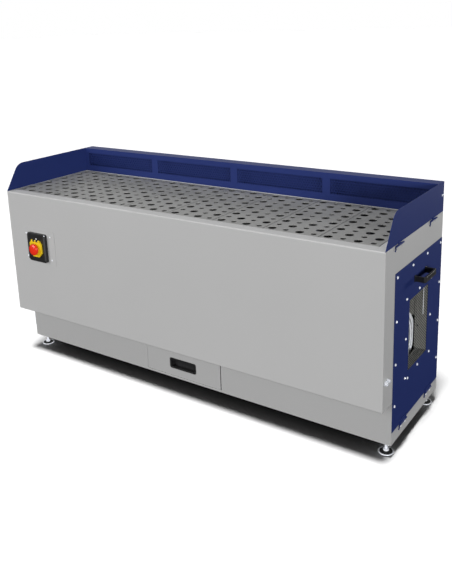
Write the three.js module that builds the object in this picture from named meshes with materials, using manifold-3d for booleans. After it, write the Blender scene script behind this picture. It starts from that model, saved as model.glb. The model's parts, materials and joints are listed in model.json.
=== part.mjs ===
// Downdraft table: a sheet steel bench that draws dust down through its perforated worktop.
// Millimetres, +Z up, +X to the right end, +Y to the rear. The floor is at z = 0.
// The source is laid out about the table's mid length and its front panel, and the last
// group moves the whole table so that its origin is the bottom centre of its own box.

import * as THREE from 'three';
import { mergeVertices } from 'three/addons/utils/BufferGeometryUtils.js';
import Module from 'manifold-3d';

const wasm = await Module();
wasm.setup();

// Whole table
const tableLength = 2000;
const tableDepth = 612;
const worktopHeight = 873;
const screenRise = 127;
const footClearance = 62;
const plinthHeight = 185;
const plinthSetback = 93;
const sheet = 2;
const seatGap = 0.3;
const overrun = 1;
const bendRadius = 6;

// Worktop
const plateCount = 8;
const holeColumns = 4;
const holeRows = 9;
const holeSides = 6;
const bigHoleRadius = 17;
const smallHoleRadius = 11;
const frontLip = 50;
const leftLip = 4.5;
const rightLip = 44;
const plateSeam = 1.5;
const plateEndGap = 3;
const plateEdgeGap = 1.5;
const plateRecess = 1;
const plateHeight = 19.5;
const gridThickness = 4;
const gridBar = 25;
const gridRim = 12;
const gridSideGap = 0.8;
const ledgeWidth = 14;
const rearUpstand = 7;

// Back box and screens
const boxDepth = 62;
const windowCount = 4;
const windowHeight = 70;
const windowSill = 32;
const windowPost = 40;
const windowEndPost = 32;
const meshThickness = 1.5;
const meshBorder = 5;
const meshSlotRows = 2;
const meshSlotColumns = 16;
const meshSlotShare = 0.6;
const airSlotMargin = 7;
const screenSlopeRun = 82;
const screenCornerRadius = 60;

// Hinges
const hingeLength = 70;
const hingeLeafHeight = 17;
const hingeTabHeight = 7;
const knuckleRadius = 3.5;
const knuckleStandoff = 4;
const knuckleDrop = 4.3;
const hingePinRadius = 1.5;
const hingePlay = 0.3;
const screenHingeInset = 125;

// Service door and left cover
const doorFrontMargin = 1;
const doorRearMargin = 6;
const doorTopMargin = 110;
const doorBottomMargin = 56;
const doorOverlap = 32;
const doorHingeInset = 113.5;
const exhaustWidth = 210;
const exhaustBottomMargin = 195;
const exhaustTopMargin = 155;
const foamThickness = 42;
const foamMargin = 8;
const handleLength = 124;
const handleReach = 45;
const handleSection = 14;
const handleCorner = 5;
const handleRiseShare = 0.48;

// Fan
const fanRise = 64;
const wheelRadius = 125;
const wheelSetback = 59;
const wheelWidth = 79;
const wheelSheet = 3;
const wheelEyeRadius = 85;
const bladeCount = 9;
const bladeThickness = 2.5;
const bladeLean = 0.8;
const rotorRadius = 46;
const rotorTaper = 6;
const motorFlangeRadius = 40;
const motorFlangeThickness = 5;
const motorGap = 0.6;
const inletLap = 4;
const inletThroat = 10;
const inletClearance = 4;
const inletFlare = 26;
const fanWallSetback = 175;
const bracketWidth = 60;
const bracketDepth = 9;
const foamRearThickness = 30;
const foamRearEndGap = 12;

// Filter, baffle and hoppers
const bulkheadSetback = 365;
const cassetteDepth = 48;
const cassetteFront = 110;
const cassetteTopGap = 20;
const cassetteFrameWidth = 22;
const pleatCount = 16;
const mediaThickness = 5;
const hopperTopShare = 0.29;
const hopperMouth = 225;
const hopperLap = 12;
const baffleDrop = 183;
const baffleRise = 55;
const baffleEndGap = 90;

// Drawer
const drawerWidth = 423;
const drawerCentre = -5;
const drawerSeam = 1.5;
const drawerSill = 10;
const drawerTopGap = 2.5;
const drawerTravel = 380;
const trayDepth = 430;
const trayTop = 215;
const trayBottom = 80;
const traySideInset = 22;
const railFoot = 20;
const railLedge = 16;
const railGuardHeight = 40;
const railPlay = 0.6;
const pullWidth = 150;
const pullHeight = 52;
const pullBottom = 110;
const pullRim = 8;
const pullDepth = 22;
const pullCorner = 9;

// Switch
const switchInset = 207;
const switchDrop = 259;
const switchPlateWidth = 219;
const switchPlateHeight = 177;
const switchPlateThickness = 1.5;
const switchPlateCorner = 9;
const switchPlateShift = 3;
const switchBoxShift = 6.5;
const switchBoxDrop = 2;
const switchWidth = 124;
const switchHeight = 143;
const switchDepth = 20;
const switchChamfer = 5;
const switchCornerCut = 7;
const switchNotchSize = 11;
const switchNotchDepth = 9;
const pocketWidth = 56;
const pocketHeight = 46;
const pocketDepth = 12;
const flapWidth = 80;
const flapHeight = 80;
const flapDepth = 8;
const flapWall = 2.5;
const flapCornerCut = 12;
const flapLowerCut = 20;
const flapDrop = 4;
const flapLugRadius = 4.5;
const flapLugLength = 10;
const flapLugSpacing = 47;
const flapMiddleLug = 8;
const flapAxisRise = 1;
const flapPinRadius = 1.5;
const flapPinPlay = 0.4;
const mushroomRadius = 26.5;
const mushroomHeight = 13;
const mushroomRim = 8.5;
const mushroomStemRadius = 7;
const pressTravel = 4;
const pressSpare = 0.6;
const buttonRadius = 8;
const buttonSpacing = 18;
const buttonHeight = 9;
const buttonPlay = 0.4;
const plungerRadius = 3;
const plungerLap = 3;

// Cable glands
const glandFront = 17;
const glandSpacing = 23;
const glandHeight = 364;
const glandRadius = 11;
const glandHexThickness = 5;
const glandDomeRadius = 8;
const glandReach = 13;
const glandThreadRadius = 7;
const glandThreadLength = 14;
const glandBoreRadius = 4.5;

// Feet
const footInset = 35;
const footSetback = 40;
const footRadius = 31;
const footRimHeight = 5;
const footDomeHeight = 13;
const footNeckRadius = 10;
const stemRadius = 6;
const nutRadius = 12.5;
const nutHeight = 11;
const bossRadius = 14;
const bossHeight = 20;
const stemSpare = 3;

// Round shapes
const fineSides = 24;
const footSides = 16;
const coarseSides = 12;

// Places worked out from the sizes
const rightFace = tableLength / 2;
const leftFace = -tableLength / 2;
const innerRight = rightFace - sheet;
const innerLeft = leftFace + sheet;
const overhangBottom = footClearance + plinthHeight;
const totalHeight = worktopHeight + screenRise;
const hopperTop = overhangBottom + (worktopHeight - overhangBottom) * hopperTopShare;
const baffleEdgeHeight = worktopHeight - baffleDrop;
const boxFront = tableDepth - boxDepth;
const rearInner = tableDepth - sheet - seatGap;
const doorFront = plinthSetback + doorFrontMargin;
const doorRear = tableDepth - doorRearMargin;
const doorBottom = footClearance + doorBottomMargin;
const doorTop = worktopHeight - doorTopMargin;
const doorCentreY = (doorFront + doorRear) / 2;
const exhaustBottom = doorBottom + exhaustBottomMargin;
const exhaustTop = doorTop - exhaustTopMargin;
const fanHeight = exhaustBottom + fanRise;
const handleHeight = exhaustTop + (doorTop - exhaustTop) * handleRiseShare;
const doorOuter = seatGap + sheet;
const plateLeft = leftFace + leftLip;
const plateRight = rightFace - rightLip;
const platePitch = (plateRight - plateEndGap - plateLeft) / plateCount;
const plateFront = frontLip + plateEdgeGap;
const frameRear = boxFront - seatGap;
const plateRear = frameRear - sheet - plateEdgeGap;
const plateTop = worktopHeight - plateRecess;
const gridTop = plateTop - plateHeight - seatGap;
const ledgeTop = gridTop - gridThickness - seatGap;
const ledgeBottom = ledgeTop - sheet;
const fanWallX = rightFace - fanWallSetback;
const filterWallX = rightFace - bulkheadSetback;
const wheelRight = rightFace - wheelSetback;
const wheelLeft = wheelRight - wheelWidth;
const windowPitch = (tableLength - 2 * windowEndPost + windowPost) / windowCount;
const windowWidth = windowPitch - windowPost;
const drawerLeft = drawerCentre - drawerWidth / 2;
const drawerRight = drawerCentre + drawerWidth / 2;
const trayLeft = drawerLeft + traySideInset;
const trayRight = drawerRight - traySideInset;
const trayFront = plinthSetback + sheet + seatGap;

// Materials
const paint = (color, roughness, metalness = 0) =>
  new THREE.MeshStandardMaterial({ color, roughness, metalness });
const greyPaint = () => paint(0xb0b0b0, 0.45);
const bluePaint = () => paint(0x1f2a5c, 0.4);
const steelFinish = () => paint(0x8f8f8c, 0.5, 0.7);
const zincFinish = () => paint(0xb9bcbe, 0.35, 0.8);
const chromeFinish = () => paint(0xd8d8d8, 0.15, 1);
const blackPlastic = () => paint(0x1b1b1c, 0.5);
const yellowPlastic = () => paint(0xe6c522, 0.4);
const redPlastic = () => paint(0xe2321f, 0.35);
const greenPlastic = () => paint(0x2f9e4a, 0.4);
const foamFinish = () => paint(0x6d6d68, 0.95);
const mediaFinish = () => paint(0xe4e2da, 0.9);

// Solids and their joins and cuts

function toSolid(geometry) {
  const bare = geometry.clone();
  bare.deleteAttribute('normal');
  bare.deleteAttribute('uv');
  const merged = mergeVertices(bare);
  return new wasm.Manifold(new wasm.Mesh({
    numProp: 3,
    vertProperties: new Float32Array(merged.attributes.position.array),
    triVerts: new Uint32Array(merged.index.array),
  }));
}

function toGeometry(solid) {
  const mesh = solid.getMesh();
  const geometry = new THREE.BufferGeometry();
  geometry.setAttribute('position', new THREE.BufferAttribute(mesh.vertProperties.slice(), 3));
  geometry.setIndex(new THREE.BufferAttribute(mesh.triVerts.slice(), 1));
  return geometry;
}

function join(...geometries) {
  return toGeometry(geometries.map(toSolid).reduce((whole, piece) => whole.add(piece)));
}

function cut(geometry, ...tools) {
  return toGeometry(tools.map(toSolid).reduce((whole, tool) => whole.subtract(tool), toSolid(geometry)));
}

// A box between two corners
function block(x0, x1, y0, y1, z0, z1) {
  const box = new THREE.BoxGeometry(x1 - x0, y1 - y0, z1 - z0);
  return box.translate((x0 + x1) / 2, (y0 + y1) / 2, (z0 + z1) / 2);
}

// Round bars along each axis, centred on a point at their lower end
function barX(radius, x0, x1, y, z, sides = fineSides) {
  return new THREE.CylinderGeometry(radius, radius, x1 - x0, sides)
    .rotateZ(-Math.PI / 2).translate((x0 + x1) / 2, y, z);
}

function barY(radius, y0, y1, x, z, sides = fineSides) {
  return new THREE.CylinderGeometry(radius, radius, y1 - y0, sides).translate(x, (y0 + y1) / 2, z);
}

function barZ(radius, z0, z1, x, y, sides = fineSides) {
  return new THREE.CylinderGeometry(radius, radius, z1 - z0, sides)
    .rotateX(Math.PI / 2).translate(x, y, (z0 + z1) / 2);
}

// Outlines
function rectangle(u0, u1, v0, v1) {
  return [[u0, v0], [u1, v0], [u1, v1], [u0, v1]];
}

function regular(sides, radius, u, v, turn = 0) {
  return Array.from({ length: sides }, (_, i) => {
    const angle = turn + (i / sides) * Math.PI * 2;
    return [u + radius * Math.cos(angle), v + radius * Math.sin(angle)];
  });
}

function cutCorners(u0, u1, v0, v1, cutSize, lowerCut = cutSize) {
  return [
    [u0 + lowerCut, v0], [u1 - lowerCut, v0], [u1, v0 + lowerCut], [u1, v1 - cutSize],
    [u1 - cutSize, v1], [u0 + cutSize, v1], [u0, v1 - cutSize], [u0, v0 + lowerCut],
  ];
}

function roundCorners(u0, u1, v0, v1, radius, steps = 3) {
  const centres = [
    [u1 - radius, v0 + radius, -Math.PI / 2], [u1 - radius, v1 - radius, 0],
    [u0 + radius, v1 - radius, Math.PI / 2], [u0 + radius, v0 + radius, Math.PI],
  ];
  return centres.flatMap(([u, v, start]) => Array.from({ length: steps + 1 }, (_, i) => {
    const angle = start + (i / steps) * (Math.PI / 2);
    return [u + radius * Math.cos(angle), v + radius * Math.sin(angle)];
  }));
}

function extruded(outline, thickness) {
  const shape = new THREE.Shape(outline.map(([u, v]) => new THREE.Vector2(u, v)));
  return new THREE.ExtrudeGeometry(shape, { depth: thickness, bevelEnabled: false });
}

function slab(outline, holes, thickness) {
  const body = extruded(outline, thickness);
  if (holes.length === 0) return body;
  return cut(body, ...holes.map((hole) =>
    extruded(hole, thickness + 2 * overrun).translate(0, 0, -overrun)));
}

// Slabs whose outline lies in the plane across the named axis, from its lower face on
function slabX(outline, holes, x0, x1) {
  const basis = new THREE.Matrix4().makeBasis(
    new THREE.Vector3(0, 1, 0), new THREE.Vector3(0, 0, 1), new THREE.Vector3(1, 0, 0));
  return slab(outline, holes, x1 - x0).applyMatrix4(basis).translate(x0, 0, 0);
}

function slabY(outline, holes, y0, y1) {
  return slab(outline, holes, y1 - y0).rotateX(Math.PI / 2).translate(0, y1, 0);
}

function slabZ(outline, holes, z0, z1) {
  return slab(outline, holes, z1 - z0).translate(0, 0, z0);
}

// A lathe profile of [radius, distance along the axis] turned about +X through a point
function turnedX(profile, x, y, z, sides = fineSides) {
  const points = profile.map(([r, along]) => new THREE.Vector2(r, along));
  return new THREE.LatheGeometry(points, sides).rotateZ(-Math.PI / 2).translate(x, y, z);
}

const table = new THREE.Group();

function add(name, geometry, material, parent = table) {
  const mesh = new THREE.Mesh(geometry, material);
  mesh.name = name;
  parent.add(mesh);
  return mesh;
}

function groupAt(x, y, z, parent = table) {
  const group = new THREE.Group();
  group.position.set(x, y, z);
  parent.add(group);
  return group;
}

// Body shell

// The body's L shaped cross section, with its front corners cut clear of the panel's bends
function bodySection(bottom, top, topCut) {
  const front = sheet + seatGap;
  const step = plinthSetback + sheet + seatGap;
  const stepHeight = overhangBottom + sheet + seatGap;
  return [
    [step, bottom], [rearInner, bottom], [rearInner, top],
    [front + topCut, top], [front, top - topCut],
    [front, stepHeight + bendRadius], [front + bendRadius, stepHeight], [step, stepHeight],
  ];
}

function footPlaces() {
  const front = plinthSetback + footSetback;
  const rear = tableDepth - footSetback;
  const side = rightFace - footInset;
  return [
    ['foot_front_right', side, front], ['foot_rear_right', side, rear],
    ['foot_front_left', -side, front], ['foot_rear_left', -side, rear],
  ];
}

function addFloorPan() {
  const top = footClearance + sheet;
  const front = plinthSetback + sheet + seatGap;
  const inner = innerRight - seatGap;
  let pan = block(-inner, inner, front, rearInner, footClearance, top);
  for (const [, x, y] of footPlaces()) {
    pan = join(pan, barZ(bossRadius, top - sheet / 2, top + bossHeight, x, y, coarseSides));
    const bore = stemRadius + seatGap;
    pan = cut(pan, barZ(bore, footClearance - overrun, top + bossHeight + overrun, x, y, coarseSides));
  }
  add('floor_pan', pan, greyPaint());
}

function addPlinthFront() {
  const top = overhangBottom - seatGap;
  const sill = footClearance + drawerSill;
  const left = drawerLeft - drawerSeam;
  const right = drawerRight + drawerSeam;
  const outline = [
    [leftFace, footClearance], [rightFace, footClearance], [rightFace, top], [right, top],
    [right, sill], [left, sill], [left, top], [leftFace, top],
  ];
  add('plinth_front', slabY(outline, [], plinthSetback, plinthSetback + sheet), greyPaint());
}

// The front panel is one folded sheet: lip over the worktop, face, and flange under the overhang
function addFrontPanel() {
  const rear = plinthSetback + sheet;
  const steps = 4;
  const arc = (y, z, radius, start, end) => Array.from({ length: steps + 1 }, (_, i) => {
    const angle = start + ((end - start) * i) / steps;
    return [y + radius * Math.cos(angle), z + radius * Math.sin(angle)];
  });
  const up = worktopHeight - bendRadius;
  const down = overhangBottom + bendRadius;
  const inner = bendRadius - sheet;
  const outline = [
    [rear, overhangBottom], [rear, overhangBottom + sheet],
    ...arc(bendRadius, down, inner, (Math.PI * 3) / 2, Math.PI),
    ...arc(bendRadius, up, inner, Math.PI, Math.PI / 2),
    [frontLip, worktopHeight - sheet], [frontLip, worktopHeight],
    ...arc(bendRadius, up, bendRadius, Math.PI / 2, Math.PI),
    ...arc(bendRadius, down, bendRadius, Math.PI, (Math.PI * 3) / 2),
  ];
  add('front_panel', slabX(outline, [], leftFace, rightFace), greyPaint());
}

function addSideSheets() {
  const top = worktopHeight - sheet - seatGap;
  const section = bodySection(footClearance, top, bendRadius);
  const y0 = doorFront + doorOverlap;
  const y1 = doorRear - doorOverlap;
  const z1 = doorTop - doorOverlap;
  const rightHole = rectangle(y0, y1, doorBottom + doorOverlap, z1);
  const leftHole = rectangle(y0, y1, hopperTop + doorOverlap, z1);
  const glandHole = (y) => regular(coarseSides, glandThreadRadius + seatGap, y, glandHeight);
  const glands = [glandHole(glandFront), glandHole(glandFront + glandSpacing)];
  add('side_sheet_right', slabX(section, [rightHole, ...glands], innerRight, rightFace), greyPaint());
  add('side_sheet_left', slabX(section, [leftHole], leftFace, innerLeft), greyPaint());
}

function addRearPanel() {
  const top = worktopHeight - sheet - seatGap;
  const rear = block(leftFace, rightFace, tableDepth - sheet, tableDepth, footClearance, top);
  add('rear_panel', rear, greyPaint());
}

// Worktop

// The tray that holds the plates: four walls, the side lips, a ledge and the rear shelf
function addWorktopFrame() {
  const left = plateLeft - sheet;
  const right = plateRight + sheet;
  const front = frontLip - sheet;
  const under = worktopHeight - sheet - seatGap;
  const lipFront = frontLip + seatGap;
  const wallTop = worktopHeight + rearUpstand;
  const ring = rectangle(left, right, front, frameRear);
  const hollow = rectangle(plateLeft, plateRight, frontLip, frameRear - sheet);
  const ledgeHole = rectangle(plateLeft + ledgeWidth, plateRight - ledgeWidth,
    frontLip + ledgeWidth, frameRear - sheet - ledgeWidth);
  const lipBottom = worktopHeight - sheet;
  const shelf = slabZ(rectangle(leftFace, rightFace, frameRear - sheet, tableDepth),
    windowCentres().map((x) => rectangle(x - windowWidth / 2, x + windowWidth / 2,
      boxFront + airSlotMargin, tableDepth - airSlotMargin)), lipBottom, worktopHeight);
  const frame = join(
    slabZ(ring, [hollow], ledgeBottom, under),
    slabZ(ring, [ledgeHole], ledgeBottom, ledgeTop),
    block(leftFace, plateLeft, lipFront, frameRear, lipBottom, worktopHeight),
    block(left, plateLeft, lipFront, frameRear, ledgeTop, worktopHeight),
    block(plateRight, rightFace, lipFront, frameRear, lipBottom, worktopHeight),
    block(plateRight, right, lipFront, frameRear, ledgeTop, worktopHeight),
    block(left, right, frameRear - sheet, frameRear, ledgeTop, wallTop),
    shelf);
  add('worktop_frame', frame, greyPaint());
}

function addSupportGrid() {
  const x0 = plateLeft + gridSideGap;
  const x1 = plateRight - gridSideGap;
  const y0 = frontLip + gridSideGap;
  const y1 = frameRear - sheet - gridSideGap;
  const openings = Array.from({ length: plateCount }, (_, i) => {
    const from = i === 0 ? x0 + gridRim : plateLeft + i * platePitch + gridBar / 2;
    const to = i === plateCount - 1 ? x1 - gridRim : plateLeft + (i + 1) * platePitch - gridBar / 2;
    return rectangle(from, to, y0 + gridRim, y1 - gridRim);
  });
  const grid = slabZ(rectangle(x0, x1, y0, y1), openings, gridTop - gridThickness, gridTop);
  add('support_grid', grid, steelFinish());
}

// One worktop plate: a perforated sheet with folded edges. Big and small holes take turns.
function plateGeometry() {
  const halfWidth = (platePitch - plateSeam) / 2;
  const halfDepth = (plateRear - plateFront) / 2;
  const stepX = platePitch / holeColumns;
  const stepY = (plateRear - plateFront) / holeRows;
  const holes = [];
  for (let row = 0; row < holeRows; row += 1) {
    for (let column = 0; column < holeColumns; column += 1) {
      const radius = (row + column) % 2 === 0 ? bigHoleRadius : smallHoleRadius;
      const x = (column - (holeColumns - 1) / 2) * stepX;
      const y = (row - (holeRows - 1) / 2) * stepY;
      holes.push(regular(holeSides, radius, x, y));
    }
  }
  const outer = rectangle(-halfWidth, halfWidth, -halfDepth, halfDepth);
  const inner = rectangle(-halfWidth + sheet, halfWidth - sheet, -halfDepth + sheet, halfDepth - sheet);
  return join(slabZ(outer, holes, -sheet, 0), slabZ(outer, [inner], -plateHeight, -sheet / 2));
}

// The plate at the left end is laid the other way round
function addPlates() {
  const geometry = plateGeometry();
  for (let i = 0; i < plateCount; i += 1) {
    const plate = add(`worktop_plate_${i + 1}`, geometry, steelFinish());
    plate.position.set(plateLeft + (i + 0.5) * platePitch, (plateFront + plateRear) / 2, plateTop);
    plate.rotation.z = i === 0 ? Math.PI : 0;
  }
}

// Back box

function windowCentres() {
  return Array.from({ length: windowCount }, (_, i) =>
    leftFace + windowEndPost + windowWidth / 2 + i * windowPitch);
}

// Front sheet with its windows and the folded top
function addBackBoxFront() {
  const bottom = worktopHeight + seatGap;
  const end = innerRight - seatGap;
  const sill = worktopHeight + windowSill;
  const profile = [
    [boxFront, bottom], [boxFront + sheet, bottom], [boxFront + sheet, totalHeight - sheet],
    [tableDepth, totalHeight - sheet], [tableDepth, totalHeight], [boxFront, totalHeight],
  ];
  const windows = windowCentres().map((x) => block(x - windowWidth / 2, x + windowWidth / 2,
    boxFront - overrun, boxFront + sheet + overrun, sill, sill + windowHeight));
  add('back_box_front', cut(slabX(profile, [], -end, end), ...windows), bluePaint());
}

// Rear sheet with the two end caps that the screens lie against
function addBackBoxRear() {
  const bottom = worktopHeight + seatGap;
  const top = totalHeight - sheet - seatGap;
  const end = innerRight - seatGap;
  const capFront = boxFront + sheet + seatGap;
  const rear = join(
    block(-end, end, tableDepth - sheet, tableDepth, bottom, top),
    block(-end, sheet - end, capFront, tableDepth - sheet / 2, bottom, top),
    block(end - sheet, end, capFront, tableDepth - sheet / 2, bottom, top));
  add('back_box_rear', rear, bluePaint());
}

// One strip of screening lies behind all the windows
function addWindowMesh() {
  const front = boxFront + sheet + seatGap;
  const bottom = worktopHeight + windowSill - meshBorder;
  const top = worktopHeight + windowSill + windowHeight + meshBorder;
  const end = innerRight - seatGap - sheet - seatGap;
  const stepX = windowWidth / meshSlotColumns;
  const stepZ = windowHeight / meshSlotRows;
  const halfX = (stepX * meshSlotShare) / 2;
  const halfZ = (stepZ * meshSlotShare) / 2;
  const slots = [];
  for (const centre of windowCentres()) {
    for (let row = 0; row < meshSlotRows; row += 1) {
      for (let column = 0; column < meshSlotColumns; column += 1) {
        const x = centre + (column - (meshSlotColumns - 1) / 2) * stepX;
        const z = bottom + meshBorder + (row + 0.5) * stepZ;
        slots.push(rectangle(x - halfX, x + halfX, z - halfZ, z + halfZ));
      }
    }
  }
  const strip = slabY(rectangle(-end, end, bottom, top), slots, front, front + meshThickness);
  add('window_mesh', strip, bluePaint());
}

// Hinges lie on the right face of the table: x = 0 is that face, y = 0 the hinge's middle and
// z = 0 the pin's height. The pin stays with the fixed leaf, the middle knuckle with the sheet.

function fixedLeafGeometry() {
  const third = hingeLength / 3;
  const half = hingeLength / 2;
  const gap = hingePlay / 2;
  const leafTop = -knuckleRadius - hingePlay - sheet / 2;
  const leaf = block(seatGap, seatGap + sheet, -half, half, leafTop - hingeLeafHeight, leafTop);
  const ends = [[-half, -third / 2 - gap], [third / 2 + gap, half]];
  const knuckles = ends.flatMap(([y0, y1]) => [
    barY(knuckleRadius, y0, y1, knuckleStandoff, 0, coarseSides),
    block(seatGap, knuckleStandoff, y0, y1, leafTop - sheet, 0),
  ]);
  const pin = barY(hingePinRadius, -half, half, knuckleStandoff, 0, coarseSides);
  return join(leaf, ...knuckles, pin);
}

// The moving leaf is welded to a sheet whose outer face stands at x = face
function movingLeafGeometry(face, leafLength, leafHeight) {
  const third = hingeLength / 3;
  const half = leafLength / 2;
  const y0 = -third / 2 + hingePlay / 2;
  const y1 = third / 2 - hingePlay / 2;
  const root = face - sheet / 2;
  const leaf = block(root, face + sheet, -half, half, knuckleDrop, knuckleDrop + leafHeight);
  const neck = block(Math.max(root, seatGap), face + sheet, y0, y1, 0, knuckleDrop + sheet);
  const knuckle = barY(knuckleRadius, y0, y1, knuckleStandoff, 0, coarseSides);
  const bore = barY(hingePinRadius + hingePlay, y0 - overrun, y1 + overrun, knuckleStandoff, 0, coarseSides);
  return cut(join(leaf, neck, knuckle), bore);
}

function screenHingePlaces() {
  return [['front', screenHingeInset], ['rear', tableDepth - screenHingeInset]];
}

function doorHingePlaces() {
  return [['front', doorFront + doorHingeInset], ['rear', doorRear - doorHingeInset]];
}

// Screens

// The right screen lies on the right face. The same outline, turned about Z, serves the left.
function screenOutline() {
  const bottom = worktopHeight + seatGap;
  const slope = Math.atan2(screenRise, screenSlopeRun);
  const tangent = screenCornerRadius * Math.tan(slope / 2);
  const centreY = screenSlopeRun + tangent;
  const centreZ = totalHeight - screenCornerRadius;
  const steps = 6;
  const corner = Array.from({ length: steps + 1 }, (_, i) => {
    const angle = Math.PI / 2 + (slope * i) / steps;
    return [centreY + screenCornerRadius * Math.cos(angle), centreZ + screenCornerRadius * Math.sin(angle)];
  });
  return [[0, bottom], [tableDepth, bottom], [tableDepth, totalHeight], ...corner];
}

function mirrored(geometry) {
  return toGeometry(toSolid(geometry).mirror([1, 0, 0]));
}

function addScreens() {
  const pinHeight = worktopHeight + seatGap - knuckleDrop;
  const tabLength = hingeLength / 3 - hingePlay;
  const leaves = screenHingePlaces().map(([, y]) =>
    movingLeafGeometry(0, tabLength, hingeTabHeight).translate(rightFace, y, pinHeight));
  const screen = join(slabX(screenOutline(), [], innerRight, rightFace), ...leaves);
  add('right_screen', screen, bluePaint());
  add('left_screen', mirrored(screen), bluePaint());
  for (const [place, y] of screenHingePlaces()) {
    const leaf = fixedLeafGeometry().translate(rightFace, y, pinHeight);
    add(`right_screen_hinge_${place}`, leaf, bluePaint());
    add(`left_screen_hinge_${place}`, mirrored(leaf), bluePaint());
  }
}

// Service door with its pull handle and foam, and the cover on the other end

function exhaustOutline() {
  return rectangle(doorCentreY - exhaustWidth / 2, doorCentreY + exhaustWidth / 2,
    exhaustBottom, exhaustTop);
}

function addServiceDoor() {
  const pinHeight = doorBottom - knuckleDrop;
  const outline = rectangle(doorFront, doorRear, doorBottom, doorTop);
  const face = slabX(outline, [exhaustOutline()], rightFace + seatGap, rightFace + doorOuter);
  const leaves = doorHingePlaces().map(([, y]) =>
    movingLeafGeometry(doorOuter, hingeLength, hingeLeafHeight).translate(rightFace, y, pinHeight));
  add('service_door', join(face, ...leaves), bluePaint());
  for (const [place, y] of doorHingePlaces()) {
    const leaf = fixedLeafGeometry().translate(rightFace, y, pinHeight);
    add(`door_hinge_${place}`, leaf, bluePaint());
  }
  const margin = doorOverlap + foamMargin;
  const foam = rectangle(doorFront + margin, doorRear - margin, doorBottom + margin, doorTop - margin);
  add('door_foam', slabX(foam, [exhaustOutline()], rightFace - foamThickness, rightFace), foamFinish());
}

// A bridge handle: two legs and a bar, cut from one outline seen from above
function addDoorHandle() {
  const x0 = rightFace + doorOuter + seatGap;
  const x1 = rightFace + doorOuter + handleReach;
  const y0 = doorCentreY - handleLength / 2;
  const y1 = doorCentreY + handleLength / 2;
  const outline = [
    [x0, y0], [x1 - handleCorner, y0], [x1, y0 + handleCorner], [x1, y1 - handleCorner],
    [x1 - handleCorner, y1], [x0, y1], [x0, y1 - handleSection], [x1 - handleSection, y1 - handleSection],
    [x1 - handleSection, y0 + handleSection], [x0, y0 + handleSection],
  ];
  const half = handleSection / 2;
  add('door_handle', slabZ(outline, [], handleHeight - half, handleHeight + half), blackPlastic());
}

function addLeftCover() {
  const cover = block(leftFace - doorOuter, leftFace - seatGap, doorFront, doorRear, doorBottom, doorTop);
  add('left_cover', cover, bluePaint());
}

// Fan chamber at the right end

function addFanWall() {
  const top = ledgeBottom - seatGap;
  const bottom = footClearance + sheet + seatGap;
  const eye = regular(fineSides, wheelEyeRadius + inletFlare - inletClearance, doorCentreY, fanHeight);
  const wall = slabX(bodySection(bottom, top, overrun), [eye], fanWallX - sheet, fanWallX);
  add('fan_wall', wall, greyPaint());
}

// The bell mouth narrows from the wall into the wheel's eye
function addInletCone() {
  const throat = wheelEyeRadius - inletClearance;
  const mouth = throat + inletFlare - sheet;
  const flange = mouth + inletFlare;
  const x0 = fanWallX + seatGap;
  const reach = wheelLeft + inletLap - x0;
  const bend = reach - inletThroat;
  const profile = [
    [mouth - sheet, 0], [flange, 0], [flange, sheet], [mouth, sheet], [throat, bend], [throat, reach],
    [throat - sheet, reach], [throat - sheet, bend], [mouth - sheet, 0],
  ];
  add('fan_inlet_cone', turnedX(profile, x0, doorCentreY, fanHeight), zincFinish());
}

// A wheel with backward curved blades between two discs, round the motor's turning drum
function addImpeller() {
  const disc = (radius, x0, x1) => barX(radius, x0, x1, doorCentreY, fanHeight);
  const backPlate = disc(wheelRadius, wheelRight - wheelSheet, wheelRight);
  const shroud = slabX(regular(fineSides, wheelRadius, doorCentreY, fanHeight),
    [regular(fineSides, wheelEyeRadius, doorCentreY, fanHeight)], wheelLeft, wheelLeft + wheelSheet);
  const drumLength = wheelWidth - inletThroat;
  const drum = turnedX([
    [0, 0], [rotorRadius - rotorTaper, 0], [rotorRadius, rotorTaper],
    [rotorRadius, drumLength - wheelSheet / 2], [0, drumLength - wheelSheet / 2],
  ], wheelRight - drumLength, doorCentreY, fanHeight);
  const bladeStart = wheelEyeRadius + sheet;
  const bladeEnd = wheelRadius - bladeThickness;
  const bladeLength = Math.sqrt(bladeEnd ** 2 - (bladeStart * Math.sin(bladeLean)) ** 2)
    - bladeStart * Math.cos(bladeLean);
  const blades = Array.from({ length: bladeCount }, (_, i) => {
    const blade = block(wheelLeft + wheelSheet / 2, wheelRight - wheelSheet / 2,
      0, bladeLength, 0, bladeThickness);
    return blade.rotateX(bladeLean).translate(0, bladeStart, 0)
      .rotateX((i / bladeCount) * Math.PI * 2).translate(0, doorCentreY, fanHeight);
  });
  add('fan_impeller', join(backPlate, shroud, drum, ...blades), zincFinish());
}

function addMotor() {
  const x0 = wheelRight + motorGap;
  add('fan_motor', barX(motorFlangeRadius, x0, x0 + motorFlangeThickness, doorCentreY, fanHeight),
    zincFinish());
}

// A folded post carries the motor from the floor pan
function addFanBracket() {
  const x0 = wheelRight + motorGap + motorFlangeThickness + seatGap;
  const x1 = x0 + bracketDepth;
  const half = bracketWidth / 2;
  const bottom = footClearance + sheet + seatGap;
  const top = fanHeight + bracketWidth;
  const post = slabZ([
    [x0, -half], [x1, -half], [x1, sheet - half], [x0 + sheet, sheet - half],
    [x0 + sheet, half - sheet], [x1, half - sheet], [x1, half], [x0, half],
  ].map(([x, y]) => [x, y + doorCentreY]), [], bottom, top);
  const foot = block(x0, x1, doorCentreY - bracketWidth, doorCentreY + bracketWidth, bottom, bottom + sheet);
  add('fan_bracket', join(post, foot), zincFinish());
}

function addRearFoam() {
  const x0 = fanWallX + foamRearEndGap;
  const x1 = innerRight - foamThickness;
  const foam = block(x0, x1, rearInner - foamRearThickness, rearInner,
    doorBottom + doorOverlap, doorTop - doorOverlap);
  add('chamber_foam_rear', foam, foamFinish());
}

// Filter, baffle and hoppers

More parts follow.
